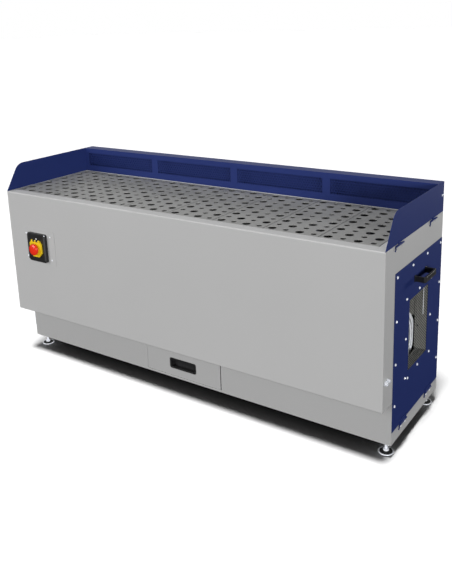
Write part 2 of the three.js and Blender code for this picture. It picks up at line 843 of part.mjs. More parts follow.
function cassetteSpan() {
  return {
    y0: cassetteFront,
    y1: rearInner - (cassetteFront - plinthSetback),
    z0: hopperTop + sheet + cassetteTopGap,
    z1: ledgeBottom - cassetteTopGap,
  };
}

function addFilterWall() {
  const top = ledgeBottom - seatGap;
  const bottom = footClearance + sheet + seatGap;
  const { y0, y1, z0, z1 } = cassetteSpan();
  const rim = cassetteFrameWidth;
  const opening = rectangle(y0 + rim, y1 - rim, z0 + rim, z1 - rim);
  const wall = slabX(bodySection(bottom, top, overrun), [opening], filterWallX, filterWallX + sheet);
  add('filter_wall', wall, greyPaint());
}

function addCassette() {
  const { y0, y1, z0, z1 } = cassetteSpan();
  const x1 = filterWallX - seatGap;
  const x0 = x1 - cassetteDepth;
  const rim = cassetteFrameWidth;
  const outer = rectangle(y0, y1, z0, z1);
  const inner = rectangle(y0 + rim, y1 - rim, z0 + rim, z1 - rim);
  add('filter_cassette_frame', slabX(outer, [inner], x0, x1), zincFinish());
  const from = y0 + rim + seatGap;
  const pitch = (y1 - y0 - 2 * rim - 2 * seatGap) / pleatCount;
  const near = x0 + sheet;
  const far = x1 - sheet - mediaThickness;
  const zigzag = Array.from({ length: 2 * pleatCount + 1 }, (_, i) =>
    [i % 2 ? far : near, from + (i * pitch) / 2]);
  const outline = [
    ...zigzag.map(([x, y]) => [x + mediaThickness, y]),
    ...zigzag.reverse(),
  ];
  add('filter_media', slabZ(outline, [], z0 + rim + seatGap, z1 - rim - seatGap), mediaFinish());
}

// The hoppers are sloping sheets that lead dust from both ends into the drawer
function addHoppers() {
  const front = trayFront + sheet;
  const slope = (xTop, xMouth) => slabY([
    [xTop, hopperTop], [xTop, hopperTop + sheet], [xMouth, hopperMouth + sheet], [xMouth, hopperMouth],
  ], [], front, rearInner);
  add('hopper_left', slope(innerLeft + seatGap, trayLeft + hopperLap), greyPaint());
  add('hopper_right', slope(filterWallX - seatGap, trayRight - hopperLap), greyPaint());
}

// An inverted V below the worktop stops sparks and leaves both ends open to the air
function addBaffle() {
  const x0 = innerLeft + baffleEndGap;
  const x1 = filterWallX - cassetteDepth - baffleEndGap;
  const middle = (x0 + x1) / 2;
  const top = baffleEdgeHeight + baffleRise;
  const outline = [
    [x0, baffleEdgeHeight], [middle, top], [x1, baffleEdgeHeight],
    [x1, baffleEdgeHeight + sheet], [middle, top + sheet], [x0, baffleEdgeHeight + sheet],
  ];
  add('spark_baffle', slabY(outline, [], sheet + seatGap, rearInner), zincFinish());
}

// Drawer

// All of the drawer moves forward together
function addDrawer() {
  const drawer = groupAt(drawerCentre, 0, 0);
  const half = drawerWidth / 2;
  const bottom = footClearance + drawerSill + drawerSeam / 2;
  const top = overhangBottom - drawerTopGap;
  const pullCentre = pullBottom + pullHeight / 2;
  const hollow = (rim) => roundCorners(rim - pullWidth / 2, pullWidth / 2 - rim,
    pullBottom + rim, pullBottom + pullHeight - rim, pullCorner - rim / 2);
  const cupRim = pullRim - sheet;
  const face = slabY(rectangle(-half, half, bottom, top), [hollow(cupRim - seatGap)],
    plinthSetback, plinthSetback + sheet);
  add('drawer_front', face, greyPaint(), drawer);

  const lip = slabY(hollow(0), [], plinthSetback - sheet - seatGap, plinthSetback - seatGap);
  const cup = slabY(hollow(cupRim), [], plinthSetback - sheet, plinthSetback + pullDepth);
  const recess = slabY(hollow(pullRim), [], plinthSetback - sheet - seatGap - overrun,
    plinthSetback + pullDepth - sheet);
  add('drawer_pull', cut(join(lip, cup), recess), blackPlastic(), drawer);

  const halfTray = half - traySideInset;
  const tray = block(-halfTray, halfTray, trayFront, trayFront + trayDepth, trayBottom, trayTop);
  const inside = block(sheet - halfTray, halfTray - sheet, trayFront + sheet,
    trayFront + trayDepth - sheet, trayBottom + sheet, trayTop + overrun);
  const room = block(-pullWidth / 2, pullWidth / 2, trayFront - overrun,
    plinthSetback + pullDepth + seatGap, pullCentre - pullHeight / 2, pullCentre + pullHeight / 2);
  const backing = block(-pullWidth / 2 - sheet, pullWidth / 2 + sheet, trayFront + sheet / 2,
    plinthSetback + pullDepth + seatGap + sheet, pullBottom - sheet, pullBottom + pullHeight + sheet);
  const shell = cut(join(cut(tray, inside), backing), room);
  add('drawer_tray', shell, zincFinish(), drawer);
}

// Each rail stands on the floor pan, with a ledge under the tray and a guard beside it
function addRails() {
  const floor = footClearance + sheet + seatGap;
  const ledge = trayBottom - seatGap;
  const profile = [
    [-railFoot, floor], [0, floor], [0, ledge - sheet], [railLedge, ledge - sheet], [railLedge, ledge],
    [0, ledge], [0, trayBottom + railGuardHeight], [-sheet, trayBottom + railGuardHeight],
    [-sheet, floor + sheet], [-railFoot, floor + sheet],
  ];
  const front = trayFront + seatGap;
  const left = profile.map(([x, z]) => [trayLeft - railPlay + x, z]);
  const right = profile.map(([x, z]) => [trayRight + railPlay - x, z]).reverse();
  const rear = front + trayDepth;
  add('drawer_rail_left', slabY(left, [], front, rear), zincFinish());
  add('drawer_rail_right', slabY(right, [], front, rear), zincFinish());
}

// Switch. Its group stands on the front panel with y falling towards the user.

function addSwitch() {
  const group = groupAt(leftFace + switchInset, 0, worktopHeight - switchDrop);
  const plateFace = -seatGap - switchPlateThickness;
  const back = plateFace - seatGap;
  const face = back - switchDepth;
  const halfPlate = switchPlateWidth / 2;
  add('switch_plate', slabY(
    roundCorners(-halfPlate - switchPlateShift, halfPlate - switchPlateShift, -switchPlateHeight / 2,
      switchPlateHeight / 2, switchPlateCorner), [], plateFace, -seatGap), greyPaint(), group);

  const flapTop = flapHeight / 2 - flapDrop;
  const axisZ = flapTop + flapAxisRise;
  const axisY = face - flapLugRadius - seatGap - flapPinPlay;
  const buttonZ = -flapDrop;
  addSwitchBox(group, back, face, axisY, axisZ, buttonZ);
  addFlap(group, face, axisY, axisZ, buttonZ);
  addButtons(group, face, buttonZ);
}

// The flap's outer lug on the right and the box's ear between it and the middle lug, along x
function outerLug() {
  return [(flapLugSpacing - flapLugLength) / 2, (flapLugSpacing + flapLugLength) / 2];
}

function boxEar() {
  return [flapMiddleLug / 2 + buttonPlay, outerLug()[0] - buttonPlay];
}

// The same span on both sides of the middle
function bothSides([x0, x1]) {
  return [[-x1, -x0], [x0, x1]];
}

// The box has bevelled edges, a notch for a screw in two corners, a pocket for the two buttons
// and the two ears and the pin of the flap's hinge
function addSwitchBox(group, back, face, axisY, axisZ, buttonZ) {
  const left = -switchBoxShift - switchWidth / 2;
  const right = left + switchWidth;
  const bottom = -switchBoxDrop - switchHeight / 2;
  const top = bottom + switchHeight;
  const taper = switchChamfer;
  const base = slabY(cutCorners(left, right, bottom, top, switchCornerCut), [], face + taper, back);
  const outline = cutCorners(left + taper, right - taper, bottom + taper, top - taper, switchCornerCut);
  const bevel = new THREE.ExtrudeGeometry(
    new THREE.Shape(outline.map(([u, v]) => new THREE.Vector2(u, v))),
    { depth: taper, steps: 1, bevelThickness: taper, bevelSize: taper, bevelSegments: 1 });
  bevel.rotateX(Math.PI / 2).translate(0, face + 2 * taper, 0);
  const pocket = block(-pocketWidth / 2, pocketWidth / 2, face - overrun, face + pocketDepth,
    buttonZ - pocketHeight / 2, buttonZ + pocketHeight / 2);
  const notchRear = face + switchNotchDepth;
  const upperNotch = block(right - switchNotchSize, right + overrun, face - overrun, notchRear,
    top - switchNotchSize, top + overrun);
  const lowerNotch = block(left - overrun, left + switchNotchSize, face - overrun, notchRear,
    bottom - overrun, bottom + switchNotchSize);
  const bores = buttonPlaces().map((x) => barY(plungerRadius + seatGap,
    face + pocketDepth - overrun, back + overrun, x, buttonZ, coarseSides));
  const ears = bothSides(boxEar()).flatMap(([x0, x1]) => [
    barX(flapLugRadius, x0, x1, axisY, axisZ, coarseSides),
    block(x0, x1, axisY, face + sheet, axisZ - flapPinRadius, axisZ + flapPinRadius),
  ]);
  const pinEnd = outerLug()[1];
  const pin = barX(flapPinRadius, -pinEnd, pinEnd, axisY, axisZ, coarseSides);
  const box = join(cut(join(base, bevel), pocket, upperNotch, lowerNotch, ...bores), ...ears, pin);
  add('switch_box', box, blackPlastic(), group);
}

// A hollow lid with three hinge lugs and a hole for the mushroom's stem
function addFlap(group, face, axisY, axisZ, buttonZ) {
  const halfWidth = flapWidth / 2;
  const bottom = -flapHeight / 2 - flapDrop;
  const top = flapHeight / 2 - flapDrop;
  const rear = face - seatGap;
  const front = rear - flapDepth;
  const outline = cutCorners(-halfWidth, halfWidth, bottom, top, flapCornerCut, flapLowerCut);
  const inner = cutCorners(flapWall - halfWidth, halfWidth - flapWall, bottom + flapWall,
    top - flapWall, flapCornerCut, flapLowerCut);
  const lid = slabY(outline, [], front, rear);
  const hollow = slabY(inner, [], front + flapWall, rear + overrun);
  const stemHole = barY(mushroomStemRadius + buttonPlay, front - overrun, rear, 0, buttonZ, coarseSides);
  const earRooms = bothSides(boxEar()).map(([x0, x1]) => block(x0 - buttonPlay, x1 + buttonPlay,
    front - overrun, rear + overrun, axisZ - flapLugRadius - buttonPlay, top + overrun));
  const middleLug = [-flapMiddleLug / 2, flapMiddleLug / 2];
  const lugs = [middleLug, ...bothSides(outerLug())].flatMap(([x0, x1]) => [
    barX(flapLugRadius, x0, x1, axisY, axisZ, coarseSides),
    block(x0, x1, front, axisY, top - flapWall, axisZ),
  ]);
  const reach = outerLug()[1] + overrun;
  const bore = barX(flapPinRadius + flapPinPlay, -reach, reach, axisY, axisZ, coarseSides);
  const shell = cut(lid, hollow, stemHole, ...earRooms);
  add('switch_flap', cut(join(shell, ...lugs), bore), yellowPlastic(), group);
}

// The stop button lies behind the mushroom, the start button beside it
function buttonPlaces() {
  return [0, -buttonSpacing];
}

function addButtons(group, face, buttonZ) {
  const flapFront = face - seatGap - flapDepth;
  const headRear = flapFront - pressTravel - pressSpare;
  const buttonFront = face + pocketDepth - seatGap - pressTravel - pressSpare - buttonHeight;
  const stemEnd = buttonFront - seatGap;
  const crown = mushroomHeight - mushroomRim;
  const steps = 5;
  const dome = Array.from({ length: steps + 1 }, (_, i) => {
    const angle = (i / steps) * (Math.PI / 2);
    return [mushroomRadius * Math.cos(angle), mushroomRim + crown * Math.sin(angle)];
  });
  const profile = [[0, headRear - stemEnd], [mushroomStemRadius, headRear - stemEnd],
    [mushroomStemRadius, 0], [mushroomRadius, 0], ...dome.slice(0, -1), [0, mushroomHeight]];
  const points = profile.map(([r, along]) => new THREE.Vector2(r, along));
  const mushroom = new THREE.LatheGeometry(points, fineSides).rotateX(Math.PI);
  mushroom.translate(0, headRear, buttonZ);
  add('stop_mushroom', mushroom, redPlastic(), group);

  const rear = buttonFront + buttonHeight;
  const [stop, start] = buttonPlaces().map((x) => join(
    barY(buttonRadius, buttonFront, rear, x, buttonZ, coarseSides),
    barY(plungerRadius, buttonFront + overrun, face + pocketDepth + plungerLap, x, buttonZ, coarseSides)));
  add('stop_button', stop, redPlastic(), group);
  add('start_button', start, greenPlastic(), group);
}

// Cable glands in the right side sheet: thread through the sheet, hexagon and dome outside
function addGlands() {
  const names = ['cable_gland_front', 'cable_gland_rear'];
  names.forEach((name, i) => {
    const y = glandFront + i * glandSpacing;
    const hexEnd = rightFace + seatGap + glandHexThickness;
    const hexagon = barX(glandRadius, rightFace + seatGap, hexEnd, y, glandHeight, holeSides);
    const dome = barX(glandDomeRadius, hexEnd - overrun, rightFace + glandReach, y, glandHeight, coarseSides);
    const thread = barX(glandThreadRadius, rightFace - glandThreadLength, hexEnd, y, glandHeight,
      coarseSides);
    const bore = barX(glandBoreRadius, rightFace - glandThreadLength - overrun,
      rightFace + glandReach + overrun, y, glandHeight, coarseSides);
    add(name, cut(join(hexagon, dome, thread), bore), chromeFinish());
  });
}

// Levelling feet: swivel disc, neck, lock nut and threaded stem
function addFeet() {
  const nutTop = footClearance - seatGap;
  const stemTop = footClearance + sheet + bossHeight + stemSpare;
  const profile = [
    [0, 0], [footRadius, 0], [footRadius, footRimHeight], [footNeckRadius, footDomeHeight],
    [stemRadius, footDomeHeight + overrun], [stemRadius, stemTop], [0, stemTop],
  ].map(([r, z]) => new THREE.Vector2(r, z));
  const post = new THREE.LatheGeometry(profile, footSides).rotateX(Math.PI / 2);
  const nut = barZ(nutRadius, nutTop - nutHeight, nutTop, 0, 0, holeSides);
  const foot = join(post, nut);
  for (const [name, x, y] of footPlaces()) {
    add(name, foot, chromeFinish()).position.set(x, y, 0);
  }
}

addFloorPan();
addPlinthFront();
addFrontPanel();
addSideSheets();
addRearPanel();
addWorktopFrame();
addSupportGrid();
addPlates();
addBackBoxFront();
addBackBoxRear();
addWindowMesh();
addScreens();
addServiceDoor();
addDoorHandle();
addLeftCover();
addFanWall();
addInletCone();
addImpeller();
addMotor();
addFanBracket();
addRearFoam();
addFilterWall();
addCassette();
addHoppers();
addBaffle();
addDrawer();
addRails();
addSwitch();
addGlands();
addFeet();

// The whole table, moved so that its origin is the bottom centre of its box
const furthestRight = rightFace + doorOuter + handleReach;
const furthestLeft = leftFace - knuckleStandoff - knuckleRadius;
const switchReach = 2 * seatGap + switchPlateThickness + switchDepth;
const furthestFront = -(switchReach + seatGap + flapDepth + pressTravel + pressSpare + mushroomHeight);
const whole = new THREE.Group();
table.position.set(-(furthestRight + furthestLeft) / 2, -(tableDepth + furthestFront) / 2, 0);
whole.add(table);

export default whole;
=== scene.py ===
"""The looks of a sheet steel downdraft table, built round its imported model.

Run as a script in Blender. Every length is in metres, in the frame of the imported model:
+X to the table's right end, +Y to its rear, +Z up, and the floor at z = 0.
"""

import json
import math
import random

import bmesh
import bpy
from bpy.props import FloatProperty, FloatVectorProperty, IntProperty, PointerProperty
from mathutils import Matrix, Vector

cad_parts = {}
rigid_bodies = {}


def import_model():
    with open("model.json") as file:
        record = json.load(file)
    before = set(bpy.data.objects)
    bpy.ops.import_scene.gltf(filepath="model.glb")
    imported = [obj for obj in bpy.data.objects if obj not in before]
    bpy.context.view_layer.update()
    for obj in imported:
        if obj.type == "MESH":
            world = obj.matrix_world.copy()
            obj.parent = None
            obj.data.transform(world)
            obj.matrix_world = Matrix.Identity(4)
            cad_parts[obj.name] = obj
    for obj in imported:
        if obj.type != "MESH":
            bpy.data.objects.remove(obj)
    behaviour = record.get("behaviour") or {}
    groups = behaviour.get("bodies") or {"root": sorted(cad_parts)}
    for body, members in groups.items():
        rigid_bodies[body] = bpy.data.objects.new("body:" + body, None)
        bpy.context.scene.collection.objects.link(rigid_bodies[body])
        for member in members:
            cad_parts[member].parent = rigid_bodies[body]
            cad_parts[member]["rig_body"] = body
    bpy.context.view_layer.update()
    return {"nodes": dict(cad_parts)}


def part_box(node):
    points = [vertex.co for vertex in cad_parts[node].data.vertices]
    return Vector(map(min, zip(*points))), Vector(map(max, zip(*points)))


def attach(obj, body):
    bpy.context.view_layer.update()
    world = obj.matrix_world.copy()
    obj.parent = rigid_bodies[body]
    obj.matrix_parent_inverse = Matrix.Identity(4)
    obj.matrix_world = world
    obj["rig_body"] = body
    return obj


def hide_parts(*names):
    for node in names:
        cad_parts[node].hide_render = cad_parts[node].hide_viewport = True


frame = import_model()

bl_info = {
    "name": "Downdraft table",
    "version": (1, 0, 0),
    "blender": (4, 5, 0),
    "location": "3D View > Sidebar > Downdraft table",
    "description": "Dresses the packed model of a downdraft table piece by piece",
    "category": "Object",
}

# Points nearer than this are one point, and faces that turn by less than this are one flat
MERGE = 2e-6
FLAT = math.radians(0.6)

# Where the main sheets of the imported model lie
FRONT_LOW, FRONT_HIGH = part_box("front_panel")
SIDE_LOW, SIDE_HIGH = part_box("side_sheet_right")
DOOR_LOW, DOOR_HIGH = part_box("service_door")
REAR_LOW, REAR_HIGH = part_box("rear_panel")
WORKTOP = FRONT_HIGH.z
SHEET = REAR_HIGH.y - REAR_LOW.y
DOOR_FACE = DOOR_LOW.x + SHEET
MIDDLE = (SIDE_HIGH.x + FRONT_LOW.x) / 2

# Across the ridges of all the foam
RIDGE_LINE = (0.7071, 0.7071, 0.7071)


def linear(red, green, blue):
    """A colour as a screen shows it, 0 to 255, in the linear numbers of Blender's settings."""
    shares = [part / 255 for part in (red, green, blue)]
    return tuple(s / 12.92 if s <= 0.04045 else ((s + 0.055) / 1.055) ** 2.4 for s in shares)


def length_setting(name, description, default):
    """A length that the panel shows in the scene's units."""
    return FloatProperty(name=name, description=description, default=default, min=0.0001,
                         soft_max=1.0, precision=4, unit="LENGTH", subtype="DISTANCE")


def colour_setting(name, description, default):
    """A colour that the panel shows as a swatch."""
    return FloatVectorProperty(name=name, description=description, default=default, size=3,
                               min=0.0, max=1.0, subtype="COLOR")


class TableSizes(bpy.types.PropertyGroup):
    """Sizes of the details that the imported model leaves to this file."""

    edge: length_setting("Sheet edge", "Rounding of the painted sheets' cut edges", 0.0005)
    big_hole: length_setting("Big hole", "Diameter of the worktop's big holes", 0.034)
    small_hole: length_setting("Small hole", "Diameter of the worktop's small holes", 0.022)
    hole_edge: length_setting("Hole edge", "Rounding of the worktop's punched holes", 0.0005)
    fold: length_setting("Fold radius", "Outer radius of the folds round a plate", 0.003)
    mesh_hole: length_setting("Mesh hole", "Diameter of the holes in the window mesh", 0.0107)
    mesh_pitch: length_setting("Mesh pitch", "Distance between holes in the window mesh", 0.0132)
    screw_head: length_setting("Screw head", "Diameter of the panel screws' heads", 0.0115)
    foam_ridge: length_setting("Foam ridge", "Distance between the foam's ridges", 0.0087)
    foam_depth: length_setting("Foam groove", "Depth of the grooves between ridges", 0.0032)
    pin: length_setting("Hinge pin", "Diameter of the hinges' bent pins", 0.004)
    blades: IntProperty(name="Fan blades", description="Blades of the fan wheel", default=9,
                        min=5, max=16)


class TableColours(bpy.types.PropertyGroup):
    """Colours of the table's finishes."""

    grey: colour_setting("Grey paint", "Powder coat of the body", linear(178, 178, 178))
    blue: colour_setting("Blue paint", "Powder coat of box, screens and door", linear(37, 49, 101))
    steel: colour_setting("Worktop steel", "Bare steel of the plates", linear(150, 150, 148))
    zinc: colour_setting("Zinc", "Galvanised sheet", linear(206, 209, 212))
    # Very dark: grinding dust together with painted shade under the worktop
    dust: colour_setting("Dust", "Sheets that grinding dust has darkened", linear(46, 45, 43))
    # Near white, so that plated screws, glands, feet and beads show bright: a painted glint
    plated: colour_setting("Plated steel", "Screws, glands, feet and wheel bead", linear(244, 247, 253))
    black: colour_setting("Black plastic", "Handles and switch box", linear(24, 24, 25))
    yellow: colour_setting("Yellow plastic", "Flap of the switch", linear(255, 240, 74))
    red: colour_setting("Red plastic", "Mushroom and stop button", linear(232, 42, 28))
    green: colour_setting("Green plastic", "Start button", linear(40, 150, 72))
    foam: colour_setting("Foam", "Sound absorbing foam", linear(106, 106, 102))
    media: colour_setting("Filter media", "Pleated filter cloth", linear(228, 226, 218))
    floor: colour_setting("Floor", "Floor of the stage", linear(250, 250, 250))


# Shader maths and material recipes


class Value:
    """A socket of a material on which sums are written as on a number."""

    def __init__(self, recipe, socket):
        self.recipe = recipe
        self.socket = socket

    def sum_with(self, operation, first, second):
        return self.recipe.node("ShaderNodeMath", {"operation": operation}, {0: first, 1: second})

    def __add__(self, other):
        return self.sum_with("ADD", self, other)

    def __radd__(self, other):
        return self.sum_with("ADD", other, self)

    def __sub__(self, other):
        return self.sum_with("SUBTRACT", self, other)

    def __rsub__(self, other):
        return self.sum_with("SUBTRACT", other, self)

    def __mul__(self, other):
        return self.sum_with("MULTIPLY", self, other)

    def __rmul__(self, other):
        return self.sum_with("MULTIPLY", other, self)

    def __truediv__(self, other):
        return self.sum_with("DIVIDE", self, other)

    def __rtruediv__(self, other):
        return self.sum_with("DIVIDE", other, self)

    def whole(self):
        return self.sum_with("FLOOR", self, 0.0)

    def wave(self):
        return self.sum_with("COSINE", self, 0.0)

    def between(self, low, high):
        """0 below low, 1 above high and smooth in between."""
        return self.recipe.node("ShaderNodeMapRange", {"interpolation_type": "SMOOTHSTEP"},
                                {"Value": self, "From Min": low, "From Max": high})


class Recipe:
    """One procedural material and the nodes put in it."""

    def __init__(self, name):
        self.material = bpy.data.materials.new(name)
        self.material.use_nodes = True
        self.tree = self.material.node_tree
        self.tree.nodes.clear()

    def node(self, kind, settings=None, sockets=None, output=0):
        """Adds a node, sets it, fills its sockets with values or links and gives one output, if any."""
        made = self.tree.nodes.new(kind)
        for name, setting in (settings or {}).items():
            setattr(made, name, setting)
        for key, content in (sockets or {}).items():
            if isinstance(content, Value):
                self.tree.links.new(content.socket, made.inputs[key])
            else:
                made.inputs[key].default_value = content
        return Value(self, made.outputs[output]) if made.outputs else None

    def place(self, scale=(1, 1, 1), turn=(0, 0, 0)):
        """Object coordinates, stretched and turned for a pattern."""
        spot = self.node("ShaderNodeTexCoord", output="Object")
        return self.node("ShaderNodeMapping", None, {"Vector": spot, "Scale": scale, "Rotation": turn})

    def axis(self, name):
        return self.node("ShaderNodeSeparateXYZ", None, {0: self.place()}, output=name)

    def noise(self, place, scale, detail=2.0, roughness=0.5):
        return self.node("ShaderNodeTexNoise", None,
                         {"Vector": place, "Scale": scale, "Detail": detail, "Roughness": roughness})

    def cells(self, place, scale, output="Distance"):
        return self.node("ShaderNodeTexVoronoi", None, {"Vector": place, "Scale": scale}, output)

    def chance(self, number):
        """A steady random number from 0 to 1 for each whole number."""
        return self.node("ShaderNodeTexWhiteNoise", {"noise_dimensions": "1D"}, {"W": number})

    def tinted(self, colour, light):
        """The colour, made lighter or darker by a share."""
        return self.node("ShaderNodeVectorMath", {"operation": "SCALE"},
                         {0: tuple(colour), "Scale": light})

    def finished(self, colour, roughness, height, strength, depth, **steady):
        """Ends the recipe: the surface with its bump, and the sockets that are the same all over."""
        sockets = {name.replace("_", " "): value for name, value in steady.items()}
        sockets["Base Color"] = colour
        sockets["Roughness"] = roughness
        sockets["Normal"] = self.node(
            "ShaderNodeBump", None, {"Strength": strength, "Distance": depth, "Height": height},
            "Normal")
        surface = self.node("ShaderNodeBsdfPrincipled", None, sockets)
        self.node("ShaderNodeOutputMaterial", None, {"Surface": surface})
        return self.material


def powder_coat(name, colour, shine):
    """Fine textured powder coat: orange peel, faint drift in tone and gloss."""
    paint = Recipe(name)
    place = paint.place()
    peel = paint.noise(place, 620, 1.5)
    drift = paint.noise(place, 2.2, 3)
    specks = paint.noise(place, 2400, 0)
    light = 0.975 + drift * 0.05 + (specks - 0.5) * 0.05
    roughness = 0.34 + drift * 0.1 + peel * 0.1
    return paint.finished(paint.tinted(colour, light), roughness, peel, 0.22, 0.0004,
                          Specular_IOR_Level=shine)


def worktop_steel(name, colour):
    """Bare rolled steel: fine grain along the table, cloudy patches, each plate its own tone."""
    steel = Recipe(name)
    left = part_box("worktop_plate_2")[0].x
    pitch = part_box("worktop_plate_3")[0].x - left
    grain = steel.noise(steel.place(scale=(14, 900, 14)), 1.0, 3, 0.6)
    clouds = steel.noise(steel.place(), 9, 4, 0.62)
    scratches = steel.noise(steel.place(scale=(60, 6, 60), turn=(0, 0, 0.5)), 4.0, 2)
    tone = steel.chance(((steel.axis("X") - (left - 0.5 * SHEET)) / pitch).whole() + 20)
    light = 0.77 + tone * 0.07 + clouds * 0.2 + grain * 0.16
    roughness = 0.36 + clouds * 0.16 + scratches.between(0.5, 0.75) * 0.08
    height = grain + scratches * 0.3
    return steel.finished(steel.tinted(colour, light), roughness, height, 0.16, 0.0002, Metallic=0.45)


def zinc_sheet(name, colour, metallic):
    """Galvanised sheet with its spangle."""
    zinc = Recipe(name)
    place = zinc.place()
    warped = zinc.node("ShaderNodeVectorMath", {"operation": "MULTIPLY_ADD"},
                       {0: zinc.node("ShaderNodeTexNoise", None, {"Vector": place, "Scale": 40},
                                     "Color"), 1: (0.012, 0.012, 0.012), 2: place})
    spangle = zinc.node("ShaderNodeSeparateColor", None, {0: zinc.cells(warped, 95, "Color")})
    clouds = zinc.noise(place, 14, 3)
    light = 0.66 + spangle * 0.3 + clouds * 0.12
    roughness = 0.24 + spangle * 0.2 + clouds * 0.06
    return zinc.finished(zinc.tinted(colour, light), roughness, zinc.noise(place, 300, 2), 0.12,
                         0.0003, Metallic=metallic)


def plated_steel(name, colour, metallic, dullness=0.12):
    """Bright zinc plating with fine turning marks and a little dulling."""
    plate = Recipe(name)
    place = plate.place()
    dull = plate.noise(place, 60, 3)
    marks = plate.noise(plate.place(scale=(1, 1, 8)), 420, 1)
    roughness = dullness + dull * (dullness * 1.3) + marks * 0.05
    return plate.finished(plate.tinted(colour, 0.9 + dull * 0.18), roughness, marks, 0.08, 0.0002,
                          Metallic=metallic)


def moulded(name, colour, roughness):
    """Moulded plastic with a fine eroded grain."""
    plastic = Recipe(name)
    place = plastic.place()
    grain = plastic.noise(place, 1500, 2)
    drift = plastic.noise(place, 18, 2)
    return plastic.finished(plastic.tinted(colour, 0.94 + drift * 0.1 + (grain - 0.5) * 0.06),
                            roughness - 0.05 + grain * 0.08 + drift * 0.06, grain, 0.12, 0.0002)


def open_foam(name, colour):
    """Open cell foam: small dark pores between soft light walls, with dust in patches and painted shade in
    the grooves between ridges.
    """
    foam = Recipe(name)
    place = foam.place()
    pores = foam.cells(place, 620)
    coarse = foam.cells(place, 210)
    dust = foam.noise(place, 26, 4, 0.6)
    ridge = foam.node("ShaderNodeVectorMath", {"operation": "DOT_PRODUCT"},
                      {0: place, 1: RIDGE_LINE}, "Value")
    # The grooves between the ridges are made darker: painted shade
    groove = 0.5 - (ridge * (math.tau / bpy.context.scene.table_sizes.foam_ridge)).wave() * 0.5
    light = (0.5 + pores * 0.46 + coarse * 0.24 + dust * 0.32) * (1.4 - groove)
    return foam.finished(foam.tinted(colour, light), 0.86 + dust * 0.1, pores + coarse, 0.6, 0.0012,
                         Sheen_Weight=0.15)


def filter_cloth(name, colour):
    """Felted filter cloth with short fibres and a light grey load of dust."""
    cloth = Recipe(name)
    fibres = cloth.noise(cloth.place(scale=(700, 700, 160)), 1.0, 3, 0.7)
    cross = cloth.noise(cloth.place(scale=(160, 160, 800), turn=(0.6, 0.3, 0)), 1.0, 2)
    dust = cloth.noise(cloth.place(), 12, 4, 0.6)
    light = 0.78 + fibres * 0.16 + cross * 0.08 + dust * 0.08
    return cloth.finished(cloth.tinted(colour, light), 0.82 + dust * 0.12, fibres + cross, 0.35, 0.0006,
                          Sheen_Weight=0.1)


def rubber(name, colour):
    """Matt rubber with a fine bloom."""
    pad = Recipe(name)
    place = pad.place()
    bloom = pad.noise(place, 90, 3)
    grain = pad.noise(place, 1800, 1)
    return pad.finished(pad.tinted(colour, 0.8 + bloom * 0.5), 0.6 + bloom * 0.2, grain, 0.2, 0.0002)


def floor_finish(name, colour):
    """Plain pale floor with a hardly visible unevenness."""
    ground = Recipe(name)
    clouds = ground.noise(ground.place(), 1.3, 2)
    return ground.finished(ground.tinted(colour, 0.995 + clouds * 0.01), 0.9, clouds, 0.02, 0.001,
                           Specular_IOR_Level=0.1)


def finish(name):
    """The named finish, made the first time that it is asked for."""
    found = bpy.data.materials.get(name)
    if found:
        return found
    colours = bpy.context.scene.table_colours
    recipes = {
        "grey_powder_coat": lambda: powder_coat(name, colours.grey, 0.3),
        # The plinth's grey is the body's grey made darker: painted shade under the front panel's overhang
        "plinth_powder_coat": lambda: powder_coat(name, [part * 0.85 for part in colours.grey], 0.3),
        "blue_powder_coat": lambda: powder_coat(name, colours.blue, 0.06),
        "rolled_worktop_steel": lambda: worktop_steel(name, colours.steel),
        "galvanised_sheet": lambda: zinc_sheet(name, colours.zinc, 0.85),
        "dust_laden_sheet": lambda: zinc_sheet(name, colours.dust, 0.3),
        "dusty_wheel_sheet": lambda: zinc_sheet(name, colours.zinc, 0.4),
        # Near white raised rings on the wheel: a painted highlight along its rim
        "wheel_bead_painted_highlight": lambda: plated_steel(name, colours.plated, 0.1, 0.2),
        # Hardly metallic, so that it shows white under the lamps: a painted glint
        "white_plated_steel": lambda: plated_steel(name, colours.plated, 0.05),
        "satin_nickel": lambda: plated_steel(name, colours.plated, 0.4),
        "black_grained_plastic": lambda: moulded(name, colours.black, 0.42),
        "yellow_plastic": lambda: moulded(name, colours.yellow, 0.5),
        "red_plastic": lambda: moulded(name, colours.red, 0.8),
        "green_plastic": lambda: moulded(name, colours.green, 0.32),
        "open_cell_foam": lambda: open_foam(name, colours.foam),
        "filter_cloth": lambda: filter_cloth(name, colours.media),
        "black_rubber": lambda: rubber(name, colours.black),
        "pale_floor": lambda: floor_finish(name, colours.floor),
    }
    return recipes[name]()


# Modelling


def facing(direction, spot):
    """The place of a shape made about +Z, turned to face a direction, with its foot on a spot."""
    turn = Vector(direction).to_track_quat("Z", "Y").to_matrix().to_4x4()
    return Matrix.Translation(Vector(spot)) @ turn


def round_edges(shape, edges, width, steps=2):
    bmesh.ops.bevel(shape, geom=edges, offset=width, offset_type="OFFSET", segments=steps,
                    profile=0.5, affect="EDGES", material=-1, clamp_overlap=True)


def folds(shape, least=50):
    """The edges that stand out by more than an angle in degrees."""
    return [edge for edge in shape.edges
            if edge.is_manifold and edge.calc_face_angle_signed(0) > math.radians(least)]


def block(low, high):
    """A box between two corners."""
    shape = bmesh.new()
    low, high = Vector(low), Vector(high)
    bmesh.ops.create_cube(shape, size=1)
    bmesh.ops.scale(shape, vec=high - low, verts=shape.verts)
    bmesh.ops.translate(shape, vec=(low + high) / 2, verts=shape.verts)
    return shape


